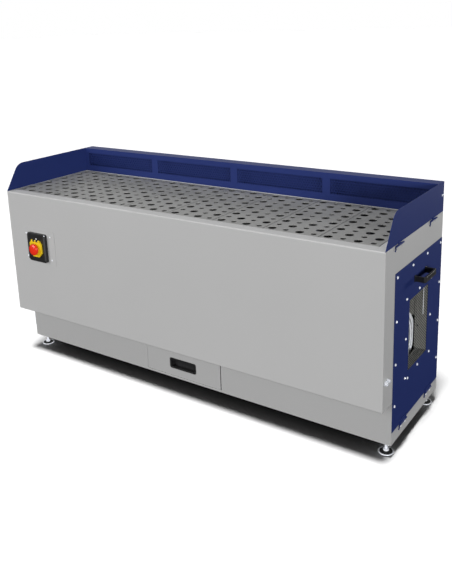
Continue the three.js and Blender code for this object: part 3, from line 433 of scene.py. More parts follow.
def turned(profile, steps=32, closed=False):
    """A shape turned about +Z from a profile of (radius, height)."""
    shape = bmesh.new()
    points = [shape.verts.new((radius, 0, height)) for radius, height in profile]
    for first, second in zip(points, points[1:] + points[:1] if closed else points[1:]):
        shape.edges.new((first, second))
    bmesh.ops.spin(shape, geom=shape.verts[:] + shape.edges[:], cent=(0, 0, 0), axis=(0, 0, 1),
                   dvec=(0, 0, 0), angle=math.tau, steps=steps, use_merge=True,
                   use_normal_flip=False, use_duplicate=False)
    bmesh.ops.remove_doubles(shape, verts=shape.verts, dist=1e-7)
    bmesh.ops.recalc_face_normals(shape, faces=shape.faces)
    return shape


def prism(sides, radius, height):
    """An upright prism about +Z that stands on z = 0."""
    shape = bmesh.new()
    bmesh.ops.create_cone(shape, cap_ends=True, segments=sides, radius1=radius, radius2=radius,
                          depth=height)
    bmesh.ops.translate(shape, vec=(0, 0, height / 2), verts=shape.verts)
    return shape


def hexagon_nut(radius, height, chamfer):
    """A hexagon nut about +Z whose corners are turned off at both ends."""
    shape = prism(6, radius, height)
    rims = [edge for edge in shape.edges if abs(edge.verts[0].co.z - edge.verts[1].co.z) < 1e-6]
    bmesh.ops.subdivide_edges(shape, edges=rims, cuts=3)
    flat = radius * math.cos(math.pi / 6)
    for vert in shape.verts:
        reach = math.hypot(vert.co.x, vert.co.y)
        drop = chamfer * max(0.0, (reach - flat) / (radius - flat))
        vert.co.z += drop if vert.co.z < height / 2 else -drop
    round_edges(shape, folds(shape), chamfer / 5)
    return shape


def rod(points, radius):
    """A round rod bent smoothly along points, with closed ends."""
    line = bpy.data.curves.new("rod_line", "CURVE")
    line.dimensions = "3D"
    line.bevel_depth = radius
    line.bevel_resolution = 3
    line.resolution_u = 6
    line.use_fill_caps = True
    spline = line.splines.new("NURBS")
    spline.points.add(len(points) - 1)
    for control, point in zip(spline.points, points):
        control.co = (*point, 1)
    spline.order_u = 3
    spline.use_endpoint_u = True
    holder = bpy.data.objects.new("rod_line", line)
    mesh = bpy.data.meshes.new_from_object(holder)
    shape = bmesh.new()
    shape.from_mesh(mesh)
    bpy.data.objects.remove(holder)
    bpy.data.curves.remove(line)
    bpy.data.meshes.remove(mesh)
    bmesh.ops.remove_doubles(shape, verts=shape.verts, dist=1e-6)
    bmesh.ops.recalc_face_normals(shape, faces=shape.faces)
    return shape


def stamp(shape, detail, place=None, material=0):
    """Adds a copy of a detail to a shape, in its place."""
    mesh = bpy.data.meshes.new("stamp")
    detail.to_mesh(mesh)
    mesh.polygons.foreach_set("material_index", [material] * len(mesh.polygons))
    if place is not None:
        mesh.transform(place)
    shape.from_mesh(mesh)
    bpy.data.meshes.remove(mesh)


def keep(shape, name, body, finishes, nodes=(), crease=38, weighted=True):
    """Makes the piece from its shape, gives it its finishes and lets it ride on its body."""
    mesh = bpy.data.meshes.new(name)
    shape.to_mesh(mesh)
    shape.free()
    for finish_name in finishes if isinstance(finishes, (list, tuple)) else [finishes]:
        mesh.materials.append(finish(finish_name))
    mesh.shade_smooth()
    mesh.set_sharp_from_angle(angle=math.radians(crease))
    piece = bpy.data.objects.new(name, mesh)
    bpy.context.scene.collection.objects.link(piece)
    if weighted:
        modifier = piece.modifiers.new("even_shading", "WEIGHTED_NORMAL")
        modifier.keep_sharp = True
    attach(piece, body)
    if nodes:
        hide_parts(*nodes)
    return piece


def body_of(node):
    return frame["nodes"][node]["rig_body"]


def merged_copy(node):
    """A CAD node's shape with its loose triangles joined and its flats made whole."""
    shape = bmesh.new()
    shape.from_mesh(frame["nodes"][node].data)
    bmesh.ops.remove_doubles(shape, verts=shape.verts, dist=MERGE)
    bmesh.ops.dissolve_limit(shape, angle_limit=FLAT, verts=shape.verts,
                             edges=shape.edges, use_dissolve_boundaries=False)
    for face in shape.faces:
        face.material_index = 0
    return shape


def soften(node, name, finish_name, slot, width, steps=2, least=50):
    """Stands a copy of a CAD node with rounded edges in its place."""
    shape = merged_copy(node)
    round_edges(shape, folds(shape, least), width, steps)
    return keep(shape, name, body_of(node), finish_name, [node])


# Operators: the sheets


class DOWNDRAFT_OT_painted_sheets(bpy.types.Operator):
    """Gives the painted sheets their rounded edges and powder coat"""

    bl_idname = "downdraft.painted_sheets"
    bl_label = "Painted sheets"

    grey = ("floor_pan", "front_panel", "side_sheet_right", "side_sheet_left",
            "rear_panel", "fan_wall", "filter_wall", "switch_plate")
    blue = ("back_box_front", "back_box_rear", "right_screen", "left_screen", "service_door",
            "left_cover")
    grey_rim = 0.0012

    def execute(self, context):
        edge = context.scene.table_sizes.edge
        for node in self.grey:
            soften(node, f"painted_{node}", "grey_powder_coat", "grey_paint", edge)
        for node in self.blue:
            soften(node, f"painted_{node}", "blue_powder_coat", "blue_paint", edge)
        # The plinth gets the darker grey: painted shade under the overhang
        soften("plinth_front", "painted_plinth_front", "plinth_powder_coat", "grey_paint", edge)
        self.worktop_frame(edge)
        return {"FINISHED"}

    def worktop_frame(self, edge):
        """The frame is grey, but for its rear upturn, which is painted with the box behind it."""
        shape = merged_copy("worktop_frame")
        round_edges(shape, folds(shape), edge)
        line = WORKTOP + self.grey_rim
        bmesh.ops.bisect_plane(shape, geom=shape.verts[:] + shape.edges[:] + shape.faces[:], dist=1e-6,
                               plane_co=(0, 0, line), plane_no=(0, 0, 1))
        for face in shape.faces:
            face.material_index = 1 if face.calc_center_median().z > line else 0
        keep(shape, "painted_worktop_frame", body_of("worktop_frame"),
             ["grey_powder_coat", "blue_powder_coat"], ["worktop_frame"])


class DOWNDRAFT_OT_zinc_sheets(bpy.types.Operator):
    """Gives the inner sheets their edges, spangle and a dark coat that is grinding dust and painted shade
    under the worktop
    """

    bl_idname = "downdraft.zinc_sheets"
    bl_label = "Galvanised sheets"

    nodes = ("drawer_tray", "drawer_rail_left", "drawer_rail_right", "filter_cassette_frame",
             "fan_bracket")
    # Sheets under the worktop, darkened by dust and by painted shade
    dusty = {"spark_baffle": "zinc_steel", "support_grid": "worktop_steel",
             "hopper_left": "grey_paint", "hopper_right": "grey_paint"}

    def execute(self, context):
        edge = context.scene.table_sizes.edge
        for node in self.nodes:
            soften(node, f"galvanised_{node}", "galvanised_sheet", "zinc_steel", edge)
        for node, slot in self.dusty.items():
            soften(node, f"dusty_{node}", "dust_laden_sheet", slot, edge)
        return {"FINISHED"}


class DOWNDRAFT_OT_worktop_plates(bpy.types.Operator):
    """Builds the eight folded and punched worktop plates"""

    bl_idname = "downdraft.worktop_plates"
    bl_label = "Worktop plates"

    columns = 4
    rows = 9
    count = 8
    sides = 24

    def cell(self, radius, width, depth):
        """One hole with its share of the sheet round it."""
        shape = bmesh.new()
        bmesh.ops.create_grid(shape, x_segments=self.sides // 4, y_segments=self.sides // 4, size=0.5)
        inner = [vert for vert in shape.verts if not vert.is_boundary]
        bmesh.ops.delete(shape, geom=inner, context="VERTS")
        bmesh.ops.scale(shape, vec=(width, depth, 1), verts=shape.verts)
        bmesh.ops.create_circle(shape, cap_ends=False, radius=radius, segments=self.sides)
        bmesh.ops.bridge_loops(shape, edges=shape.edges[:])
        return shape

    def plate(self, sizes, low, high, pitch, turned_round):
        width, depth, height = high - low
        step_x, step_y = pitch / self.columns, depth / self.rows
        big = self.cell(sizes.big_hole / 2, step_x, step_y)
        small = self.cell(sizes.small_hole / 2, step_x, step_y)
        shape = bmesh.new()
        for row in range(self.rows):
            for column in range(self.columns):
                spot = Vector(((column + 0.5) * step_x - pitch / 2, (row + 0.5) * step_y - depth / 2, 0))
                stamp(shape, big if (row + column) % 2 == 0 else small, Matrix.Translation(spot))
        bmesh.ops.remove_doubles(shape, verts=shape.verts, dist=1e-5)
        for vert in shape.verts:
            vert.co.x = max(-width / 2, min(width / 2, vert.co.x))
        bmesh.ops.recalc_face_normals(shape, faces=shape.faces)
        if sum(face.normal.z for face in shape.faces) < 0:
            bmesh.ops.reverse_faces(shape, faces=shape.faces)
        self.fold(shape, sizes, width, depth, height)
        if turned_round:
            half_turn = Matrix.Rotation(math.pi, 3, "Z")
            bmesh.ops.rotate(shape, verts=shape.verts, cent=(0, 0, 0), matrix=half_turn)
        bmesh.ops.translate(shape, verts=shape.verts,
                            vec=((low.x + high.x) / 2, (low.y + high.y) / 2, high.z))
        big.free()
        small.free()
        return shape

    def fold(self, shape, sizes, width, depth, height):
        """Folds the rim down, gives the sheet its thickness and eases the holes."""
        def on_rim(vert):
            return abs(abs(vert.co.x) - width / 2) < 1e-5 or abs(abs(vert.co.y) - depth / 2) < 1e-5

        rim = [edge for edge in shape.edges if edge.is_boundary and all(map(on_rim, edge.verts))]
        sides = bmesh.ops.extrude_edge_only(shape, edges=rim)["geom"]
        bmesh.ops.translate(shape, vec=(0, 0, -height),
                            verts=[part for part in sides if isinstance(part, bmesh.types.BMVert)])
        round_edges(shape, [edge for edge in rim if edge.is_valid], sizes.fold, 3)
        bmesh.ops.recalc_face_normals(shape, faces=shape.faces)
        if sum(face.normal.z * face.calc_area() for face in shape.faces) < 0:
            bmesh.ops.reverse_faces(shape, faces=shape.faces)
        bmesh.ops.solidify(shape, geom=shape.faces[:], thickness=SHEET)
        tops = [edge for edge in folds(shape)
                if all(abs(vert.co.z) < 1e-6 and not on_rim(vert) for vert in edge.verts)]
        round_edges(shape, tops, sizes.hole_edge, 1)

    def execute(self, context):
        sizes = context.scene.table_sizes
        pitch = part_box("worktop_plate_3")[0].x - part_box("worktop_plate_2")[0].x
        for number in range(1, self.count + 1):
            node = f"worktop_plate_{number}"
            low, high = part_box(node)
            shape = self.plate(sizes, low, high, pitch, number == 1)
            keep(shape, f"punched_plate_{number}", body_of(node), "rolled_worktop_steel",
                 [node])
        return {"FINISHED"}


class DOWNDRAFT_OT_window_mesh(bpy.types.Operator):
    """Builds the perforated strip behind the four windows of the rear box"""

    bl_idname = "downdraft.window_mesh"
    bl_label = "Window mesh"

    sides = 12

    def cell(self, hole, pitch):
        """One round hole in its six sided share of the strip, facing +Z."""
        shape = bmesh.new()
        bmesh.ops.create_circle(shape, cap_ends=False, radius=pitch / math.sqrt(3), segments=6)
        bmesh.ops.subdivide_edges(shape, edges=shape.edges[:], cuts=1)
        bmesh.ops.create_circle(shape, cap_ends=False, radius=hole / 2, segments=self.sides)
        bmesh.ops.bridge_loops(shape, edges=shape.edges[:])
        return shape

    def execute(self, context):
        sizes = context.scene.table_sizes
        low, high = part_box("window_mesh")
        cell = self.cell(sizes.mesh_hole, sizes.mesh_pitch)
        step = sizes.mesh_pitch * math.sqrt(3) / 2
        middle = (low + high) / 2
        turn = Matrix.Rotation(math.pi / 2, 4, "X")
        shape = bmesh.new()
        rows = math.ceil((high.z - low.z) / step) + 1
        columns = math.ceil((high.x - low.x) / sizes.mesh_pitch) + 2
        for row in range(rows):
            for column in range(columns):
                spot = Vector((middle.x + (column - (columns - 1) / 2 + (row % 2) / 2) * sizes.mesh_pitch,
                               low.y, middle.z + (row - (rows - 1) / 2) * step))
                stamp(shape, cell, Matrix.Translation(spot) @ turn)
        cell.free()
        bmesh.ops.remove_doubles(shape, verts=shape.verts, dist=sizes.mesh_pitch / 60)
        for spot, normal in ((low, (-1, 0, 0)), (high, (1, 0, 0)), (low, (0, 0, -1)), (high, (0, 0, 1))):
            bmesh.ops.bisect_plane(shape, geom=shape.verts[:] + shape.edges[:] + shape.faces[:],
                                   dist=1e-7, plane_co=spot, plane_no=normal, clear_outer=True)
        bmesh.ops.recalc_face_normals(shape, faces=shape.faces)
        if sum(face.normal.y for face in shape.faces) > 0:
            bmesh.ops.reverse_faces(shape, faces=shape.faces)
        bmesh.ops.solidify(shape, geom=shape.faces[:], thickness=high.y - low.y)
        keep(shape, "perforated_window_strip", "table", "blue_powder_coat",
             ["window_mesh"], weighted=False)
        return {"FINISHED"}


# Operators: fasteners and fittings


def screw_shape(diameter):
    """A domed head about +Z with a round recess and a thin washer flange."""
    radius = diameter / 2
    profile = [(0, 0.28), (0.28, 0.3), (0.34, 0.56), (0.4, 0.6), (0.62, 0.52), (0.8, 0.34),
               (0.86, 0.14), (1.0, 0.12), (1.0, 0), (0, 0)]
    return turned([(r * radius, z * radius) for r, z in profile], 14)


class DOWNDRAFT_OT_screws(bpy.types.Operator):
    """Sets the domed screws of the door, covers, switch plate, rear and screens"""

    bl_idname = "downdraft.screws"
    bl_label = "Screws"

    # Heights of the screws, and how far in from the door's edges or from its middle they sit
    edge_rise = (0.223, 0.3967, 0.5703, 0.744)
    edge_inset = 0.019
    ring_rise = (0.295, 0.461, 0.624)
    ring_reach = 0.136
    stray_screw = (-0.039, 0.283)
    screen_screw = (0.021, 0.9445)
    plate_reach = (0.085, 0.059)
    plate_share = 0.72
    screen_share = 0.8
    rear_columns = 7
    rear_inset = 0.02
    box_inset = 0.015

    def row(self, count, first, last):
        return [first + (last - first) * i / (count - 1) for i in range(count)]

    def cover_places(self, face, direction):
        """Places of the screws up both sides of a door or cover and along its top."""
        front, rear = DOOR_LOW.y + self.edge_inset, DOOR_HIGH.y - self.edge_inset
        spots = [(y, z) for z in self.edge_rise for y in (front, rear)]
        spots += [(y, self.edge_rise[-1]) for y in self.row(4, front, rear)[1:-1]]
        return [facing(direction, (face, y, z)) for y, z in spots]

    def ring_places(self, face):
        """Places of the screws round the exhaust opening, with the stray one below it."""
        centre = (DOOR_LOW.y + DOOR_HIGH.y) / 2
        spots = [(centre + side * self.ring_reach, z) for z in self.ring_rise for side in (-1, 1)]
        spots += [(centre, self.ring_rise[0]), (centre, self.ring_rise[-1]), self.stray_screw]
        return [facing((1, 0, 0), (face, y, z)) for y, z in spots]

    def make(self, name, body, places, diameter, slot="plated_steel"):
        detail = screw_shape(diameter)
        shape = bmesh.new()
        chance = random.Random(len(places))
        for place in places:
            lean = Matrix.Rotation(chance.uniform(0, math.tau), 4, "Z")
            stamp(shape, detail, place @ lean)
        detail.free()
        # The screw heads are near white: a painted glint
        keep(shape, name, body, "white_plated_steel", weighted=False)

    def execute(self, context):
        head = context.scene.table_sizes.screw_head
        door = self.cover_places(DOOR_FACE, (1, 0, 0)) + self.ring_places(DOOR_FACE)
        self.make("door_screws", "door", door, head)
        left_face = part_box("left_cover")[0].x
        self.make("left_cover_screws", "table", self.cover_places(left_face, (-1, 0, 0)), head)
        low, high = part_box("switch_plate")
        box_low, box_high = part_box("switch_box")
        centre = Vector(((box_low.x + box_high.x) / 2, low.y, (low.z + high.z) / 2))
        across, up = self.plate_reach
        corners = [(centre.x + i * across, low.y, centre.z + k * up) for i in (-1, 1) for k in (-1, 1)]
        self.make("switch_plate_screws", "table", [facing((0, -1, 0), spot) for spot in corners],
                  head * self.plate_share)
        self.screens(head)
        self.rear(head)
        return {"FINISHED"}

    def screens(self, head):
        inset, rise = self.screen_screw
        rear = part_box("right_screen")[1].y - inset
        face = SIDE_HIGH.x
        for name, x, side in (("right", face, 1), ("left", 2 * MIDDLE - face, -1)):
            spots = [facing((side, 0, 0), (x, rear, rise))]
            self.make(f"{name}_screen_screw", f"{name}_screen", spots, head * self.screen_share)

    def rear(self, head):
        low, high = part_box("rear_panel")
        inset = self.rear_inset
        across = self.row(self.rear_columns, low.x + inset, high.x - inset)
        spots = [(x, z) for x in across for z in (low.z + inset, high.z - inset)]
        spots += [(x, (low.z + high.z) / 2) for x in (across[0], across[-1])]
        box_low, box_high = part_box("back_box_rear")
        spots += [(x, z) for x in across
                  for z in (box_low.z + self.box_inset, box_high.z - self.box_inset)]
        places = [facing((0, 1, 0), (x, high.y, z)) for x, z in spots]
        self.make("rear_screws", "table", places, head)


class DOWNDRAFT_OT_hinges(bpy.types.Operator):
    """Builds the hinges' leaves and knuckles, their bent pins and their screws"""

    bl_idname = "downdraft.hinges"
    bl_label = "Hinges"

    knuckle = 0.0035
    leaf_top = 0.0046
    leaf_edge = 0.0004
    screw_shares = (0.2, 0.8)
    screw_drop = 0.008
    door_screw = 0.009
    screen_screw = 0.007

    def leaf_and_knuckles(self, node):
        """The fixed leaf is painted with the body, the knuckles with the sheet that turns."""
        shape = merged_copy(node)
        round_edges(shape, folds(shape), self.leaf_edge)
        top = max(vert.co.z for vert in shape.verts) - self.knuckle - self.leaf_top
        for face in shape.faces:
            face.material_index = 1 if face.calc_center_median().z < top else 0
        keep(shape, f"painted_{node}", body_of(node), ["blue_powder_coat", "grey_powder_coat"],
             [node])

    def bent_pin(self, node, sizes, side):
        """The pin's front end, bent down into a short grip."""
        low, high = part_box(node)
        x = (high.x if side > 0 else low.x) - side * self.knuckle
        z = high.z - self.knuckle
        y = low.y
        line = [(x, y + 0.004, z), (x, y - 0.003, z), (x, y - 0.006, z - 0.0005),
                (x, y - 0.0075, z - 0.004), (x, y - 0.004, z - 0.009), (x, y - 0.006, z - 0.0125),
                (x, y - 0.0105, z - 0.0145)]
        shape = rod(line, sizes.pin / 2)
        knob = turned([(0, -0.0022), (0.0016, -0.0017), (0.0023, 0), (0.0016, 0.0017), (0, 0.0022)], 12)
        stamp(shape, knob, facing((0, -1, -0.3), line[-1]))
        knob.free()
        keep(shape, f"bent_pin_{node}", body_of(node), "blue_powder_coat", weighted=False)

    def leaf_screws(self, node, side, diameter, finish_name, name):
        low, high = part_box(node)
        detail = screw_shape(diameter)
        face = (low.x if side > 0 else high.x) + side * SHEET
        shape = bmesh.new()
        z = high.z - 2 * self.knuckle - self.screw_drop
        for share in self.screw_shares:
            y = low.y + (high.y - low.y) * share
            stamp(shape, detail, facing((side, 0, 0), (face, y, z)))
        detail.free()
        keep(shape, name, body_of(node), finish_name, weighted=False)

    def execute(self, context):
        sizes = context.scene.table_sizes
        for place in ("front", "rear"):
            for name, side in (("right_screen", 1), ("left_screen", -1), ("door", 1)):
                node = f"{name}_hinge_{place}"
                is_door = name == "door"
                self.leaf_and_knuckles(node)
                self.bent_pin(node, sizes, side)
                # The door's leaf screws are near white: a painted glint
                self.leaf_screws(node, side, self.door_screw if is_door else self.screen_screw,
                                 "white_plated_steel" if is_door else "grey_powder_coat",
                                 f"screws_{node}")
        return {"FINISHED"}


class DOWNDRAFT_OT_door_handle(bpy.types.Operator):
    """Builds the moulded bow handle of the service door"""

    bl_idname = "downdraft.door_handle"
    bl_label = "Door handle"

    solid_bar = 0.014
    bar = (0.0085, 0.0225)
    flange = (0.002, 0.003)
    bar_edge = 0.0013
    foot_edge = 0.0008

    def execute(self, context):
        """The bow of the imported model, with its bar made flatter and taller."""
        shape = merged_copy("door_handle")
        low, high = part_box("door_handle")
        middle = (low + high) / 2
        across, tall = self.bar
        for vert in shape.verts:
            vert.co.z = middle.z + (vert.co.z - middle.z) * tall / self.solid_bar
            aside = vert.co.y - middle.y
            if abs(aside) < (high.y - low.y - self.solid_bar) / 2:
                vert.co.y += math.copysign(self.solid_bar - across, aside)
                vert.co.x += self.solid_bar - across if vert.co.x > middle.x else 0
        round_edges(shape, folds(shape, 30), self.bar_edge, 3)
        margin, thick = self.flange
        reach = Vector((0, 0, tall / 2 + margin))
        for y in (low.y, high.y - across):
            root = Vector((low.x, y, middle.z))
            foot = block(root - reach - Vector((0, margin, 0)),
                         root + reach + Vector((thick, across + margin, 0)))
            round_edges(foot, folds(foot), self.foot_edge)
            stamp(shape, foot)
            foot.free()
        keep(shape, "moulded_door_handle", "door", "black_grained_plastic",
             ["door_handle"])
        return {"FINISHED"}


class DOWNDRAFT_OT_glands(bpy.types.Operator):
    """Builds the two cable glands with their nuts and domes"""

    bl_idname = "downdraft.glands"
    bl_label = "Cable glands"

    nut = (0.011, 0.0047, 0.0009)
    nut_gap = 0.0003
    turns = 7
    thread_pitch = 0.0015
    thread_end = -0.0125

    def execute(self, context):
        for place in ("front", "rear"):
            node = f"cable_gland_{place}"
            low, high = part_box(node)
            centre = (low + high) / 2
            reach = high.x - SIDE_HIGH.x
            shape = bmesh.new()
            nut = hexagon_nut(*self.nut)
            stamp(shape, nut, Matrix.Translation((0, 0, self.nut_gap)))
            nut.free()
            cap = turned([(0.0045, reach), (0.0062, reach), (0.0073, reach - 0.0006),
                          (0.008, reach - 0.002), (0.0085, 0.006), (0.0085, 0.0048), (0.007, 0.0048),
                          (0.007, -0.0139), (0.0066, -0.014), (0.0045, -0.014)], 32, closed=True)
            stamp(shape, cap)
            cap.free()
            thread = turned([(0.0068, -0.0006), (0.0075, 0), (0.0068, 0.0006)], 24)
            for turn in range(self.turns):
                spot = (0, 0, self.thread_end + turn * self.thread_pitch)
                stamp(shape, thread, Matrix.Translation(spot))
            thread.free()
            bmesh.ops.transform(shape, matrix=facing((1, 0, 0), (SIDE_HIGH.x, centre.y, centre.z)),
                                verts=shape.verts)
            keep(shape, f"gland_{place}", "table", "satin_nickel", [node])
        return {"FINISHED"}


class DOWNDRAFT_OT_feet(bpy.types.Operator):
    """Builds the levelling feet: rubber pad, dish with a rubber inlay, nut and threaded stem"""

    bl_idname = "downdraft.feet"
    bl_label = "Levelling feet"

    thread_pitch = 0.00175
    nut = (0.0125, 0.011, 0.0014)
    nut_height = 0.0507

    def dish(self):
        """The pressed dish with its rolled rim and the swivel socket on it."""
        return turned([
            (0, 0.0059), (0.0285, 0.0059), (0.0299, 0.005), (0.0309, 0.0062), (0.0309, 0.008),
            (0.0299, 0.0093), (0.0285, 0.0096), (0.026, 0.0088), (0.0175, 0.01), (0.0125, 0.0122),
            (0.0112, 0.0128), (0.0112, 0.0205), (0.0104, 0.0213), (0.0085, 0.0216), (0, 0.0216)], 48)

    def stem(self, top):
        profile = [(0.0, 0.016), (0.0056, 0.016)]
        z = 0.0225
        while z < top - self.thread_pitch:
            profile += [(0.0051, z), (0.0059, z + self.thread_pitch / 2)]
            z += self.thread_pitch
        return turned(profile + [(0.0051, top - 0.0004), (0.0045, top), (0, top)], 24)

    def execute(self, context):
        for side in ("right", "left"):
            for place in ("front", "rear"):
                node = f"foot_{place}_{side}"
                low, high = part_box(node)
                centre = Matrix.Translation(((low.x + high.x) / 2, (low.y + high.y) / 2, 0))
                shape = bmesh.new()
                pad = turned([(0, 0), (0.0278, 0), (0.0292, 0.0008), (0.0294, 0.0054), (0.0278, 0.006),
                              (0, 0.006)], 48)
                stamp(shape, pad, centre, 1)
                inlay = turned([(0.0118, 0.012), (0.0175, 0.0098), (0.0258, 0.0085), (0.0258, 0.0094),
                                (0.0175, 0.0108), (0.0118, 0.0134)], 48, closed=True)
                stamp(shape, inlay, centre, 1)
                for part, lift in ((self.dish(), 0), (self.stem(high.z), 0),
                                   (hexagon_nut(*self.nut), self.nut_height)):
                    stamp(shape, part, centre @ Matrix.Translation((0, 0, lift)))
                    part.free()
                pad.free()
                inlay.free()
                # Dish, stem and nut are near white: a painted glint on the plating
                keep(shape, f"levelling_{node}", body_of(node), ["white_plated_steel", "black_rubber"],
                     [node])
        return {"FINISHED"}


class DOWNDRAFT_OT_drawer_pull(bpy.types.Operator):
    """Builds the drawer's front, in the grey with painted shade, with its wider seam on the right, and its
    recessed black pull
    """

    bl_idname = "downdraft.drawer_pull"
    bl_label = "Drawer front and pull"

    wider_seam = 0.0028
    pull_edge = 0.0009

    def execute(self, context):
        shape = merged_copy("drawer_front")
        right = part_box("drawer_front")[1].x
        for vert in shape.verts:
            if vert.co.x > right - SHEET / 4:
                vert.co.x -= self.wider_seam
        round_edges(shape, folds(shape), context.scene.table_sizes.edge)
        # The drawer front gets the plinth's darker grey: painted shade under the overhang
        keep(shape, "painted_drawer_front", body_of("drawer_front"), "plinth_powder_coat",
             ["drawer_front"])
        soften("drawer_pull", "recessed_pull", "black_grained_plastic", "black_plastic",
               self.pull_edge, 3, 45)
        return {"FINISHED"}


class DOWNDRAFT_OT_switch(bpy.types.Operator):
    """Builds the mains switch: box, yellow flap, red mushroom and the two buttons"""

    bl_idname = "downdraft.switch"
    bl_label = "Switch"

    flap_gap = 0.0003
    notch = (0.0055, 0.009)
    stud_rise = 0.004
    rim_lip = 0.0015
    rim_edge = 0.0012
    cap_rise = 0.005
    cap = 0.0055
    head = 0.016
    stem = 0.007
    corner_screw = 0.0065

    # Node, finish, slot, width of the rounding, its steps and the least angle of a rounded edge
    moulded_parts = (
        ("switch_box", "black_grained_plastic", "black_plastic", 0.0008, 2, 25),
        ("switch_flap", "yellow_plastic", "yellow_plastic", 0.0009, 3, 35),
        ("stop_button", "red_plastic", "red_plastic", 0.0006, 2, 50),
        ("start_button", "green_plastic", "green_plastic", 0.0006, 2, 50),
    )

    def execute(self, context):
        for node, *look in self.moulded_parts:
            soften(node, f"moulded_{node}", *look)
        self.mushroom()
        self.box_screws()
        return {"FINISHED"}

    def mushroom(self):
        """A domed cap with a grooved rim on a stem, facing the user."""
        low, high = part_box("stop_mushroom")
        radius = (high.x - low.x) / 2 + self.rim_lip
        front = low.y - self.cap_rise
        rear = high.y - front
        profile = [(0, 0), (0.3, 0.04), (0.55, 0.16), (0.76, 0.4), (0.9, 0.7), (0.97, 1.0)]
        cap, head, stem, edge = self.cap, self.head, self.stem, self.rim_edge
        line = [(r * radius, -z * cap) for r, z in profile]
        line += [(radius, -cap - 0.001), (radius, edge - head), (radius - edge, -head),
                 (stem + 0.0005, -head), (stem, -head - 0.0005), (stem, -rear), (0, -rear)]
        shape = turned(line, 48)
        place = facing((0, -1, 0), ((low.x + high.x) / 2, front, (low.z + high.z) / 2))
        bmesh.ops.transform(shape, matrix=place, verts=shape.verts)
        keep(shape, "red_mushroom", "stop_mushroom", "red_plastic", ["stop_mushroom"],
             crease=48)

    def box_screws(self):
        """A screw in each corner notch, and a stud above the flap."""
        low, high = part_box("switch_box")
        flap_low, flap_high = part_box("switch_flap")
        face = flap_high.y + self.flap_gap
        inset, depth = self.notch
        shape = bmesh.new()
        detail = screw_shape(self.corner_screw)
        for x, z in ((high.x - inset, high.z - inset), (low.x + inset, low.z + inset)):
            stamp(shape, detail, facing((0, -1, 0), (x, face + depth, z)))
        detail.free()
        stud = turned([(0, 0.0012), (0.0028, 0.0012), (0.0034, 0.0006), (0.0035, 0), (0, 0)], 24)
        spot = ((flap_low.x + flap_high.x) / 2, face, flap_high.z + self.stud_rise)
        stamp(shape, stud, facing((0, -1, 0), spot))
        stud.free()
        # Screws and stud are near white: a painted glint
        keep(shape, "switch_box_screws", "table", "white_plated_steel", weighted=False)


# Operators: foam, fan and filter


def ridges(faces, sizes):
    """Presses grooves into faces: points sink where the ridge pattern has a groove."""
    verts = {vert for face in faces for vert in face.verts}
    own = set(faces)
    inner = [vert for vert in verts if all(face in own for face in vert.link_faces)]
    for vert in inner:
        turn = vert.co.dot(Vector(RIDGE_LINE)) / sizes.foam_ridge * math.tau
        sink = (0.5 - 0.5 * math.cos(turn)) ** 1.4 * sizes.foam_depth
        vert.co -= vert.normal * sink


def sliced(shape, axis, places):
    """Cuts a shape across an axis at each place, and keeps both sides."""
    normal = [0, 0, 0]
    normal[axis] = 1
    for place in places:
        spot = [0, 0, 0]
        spot[axis] = place
        bmesh.ops.bisect_plane(shape, geom=shape.verts[:] + shape.edges[:] + shape.faces[:], dist=1e-7,
                               plane_co=spot, plane_no=normal)


def steps_between(low, high, step):
    count = max(1, round((high - low) / step))
    return [low + (high - low) * i / count for i in range(1, count)]


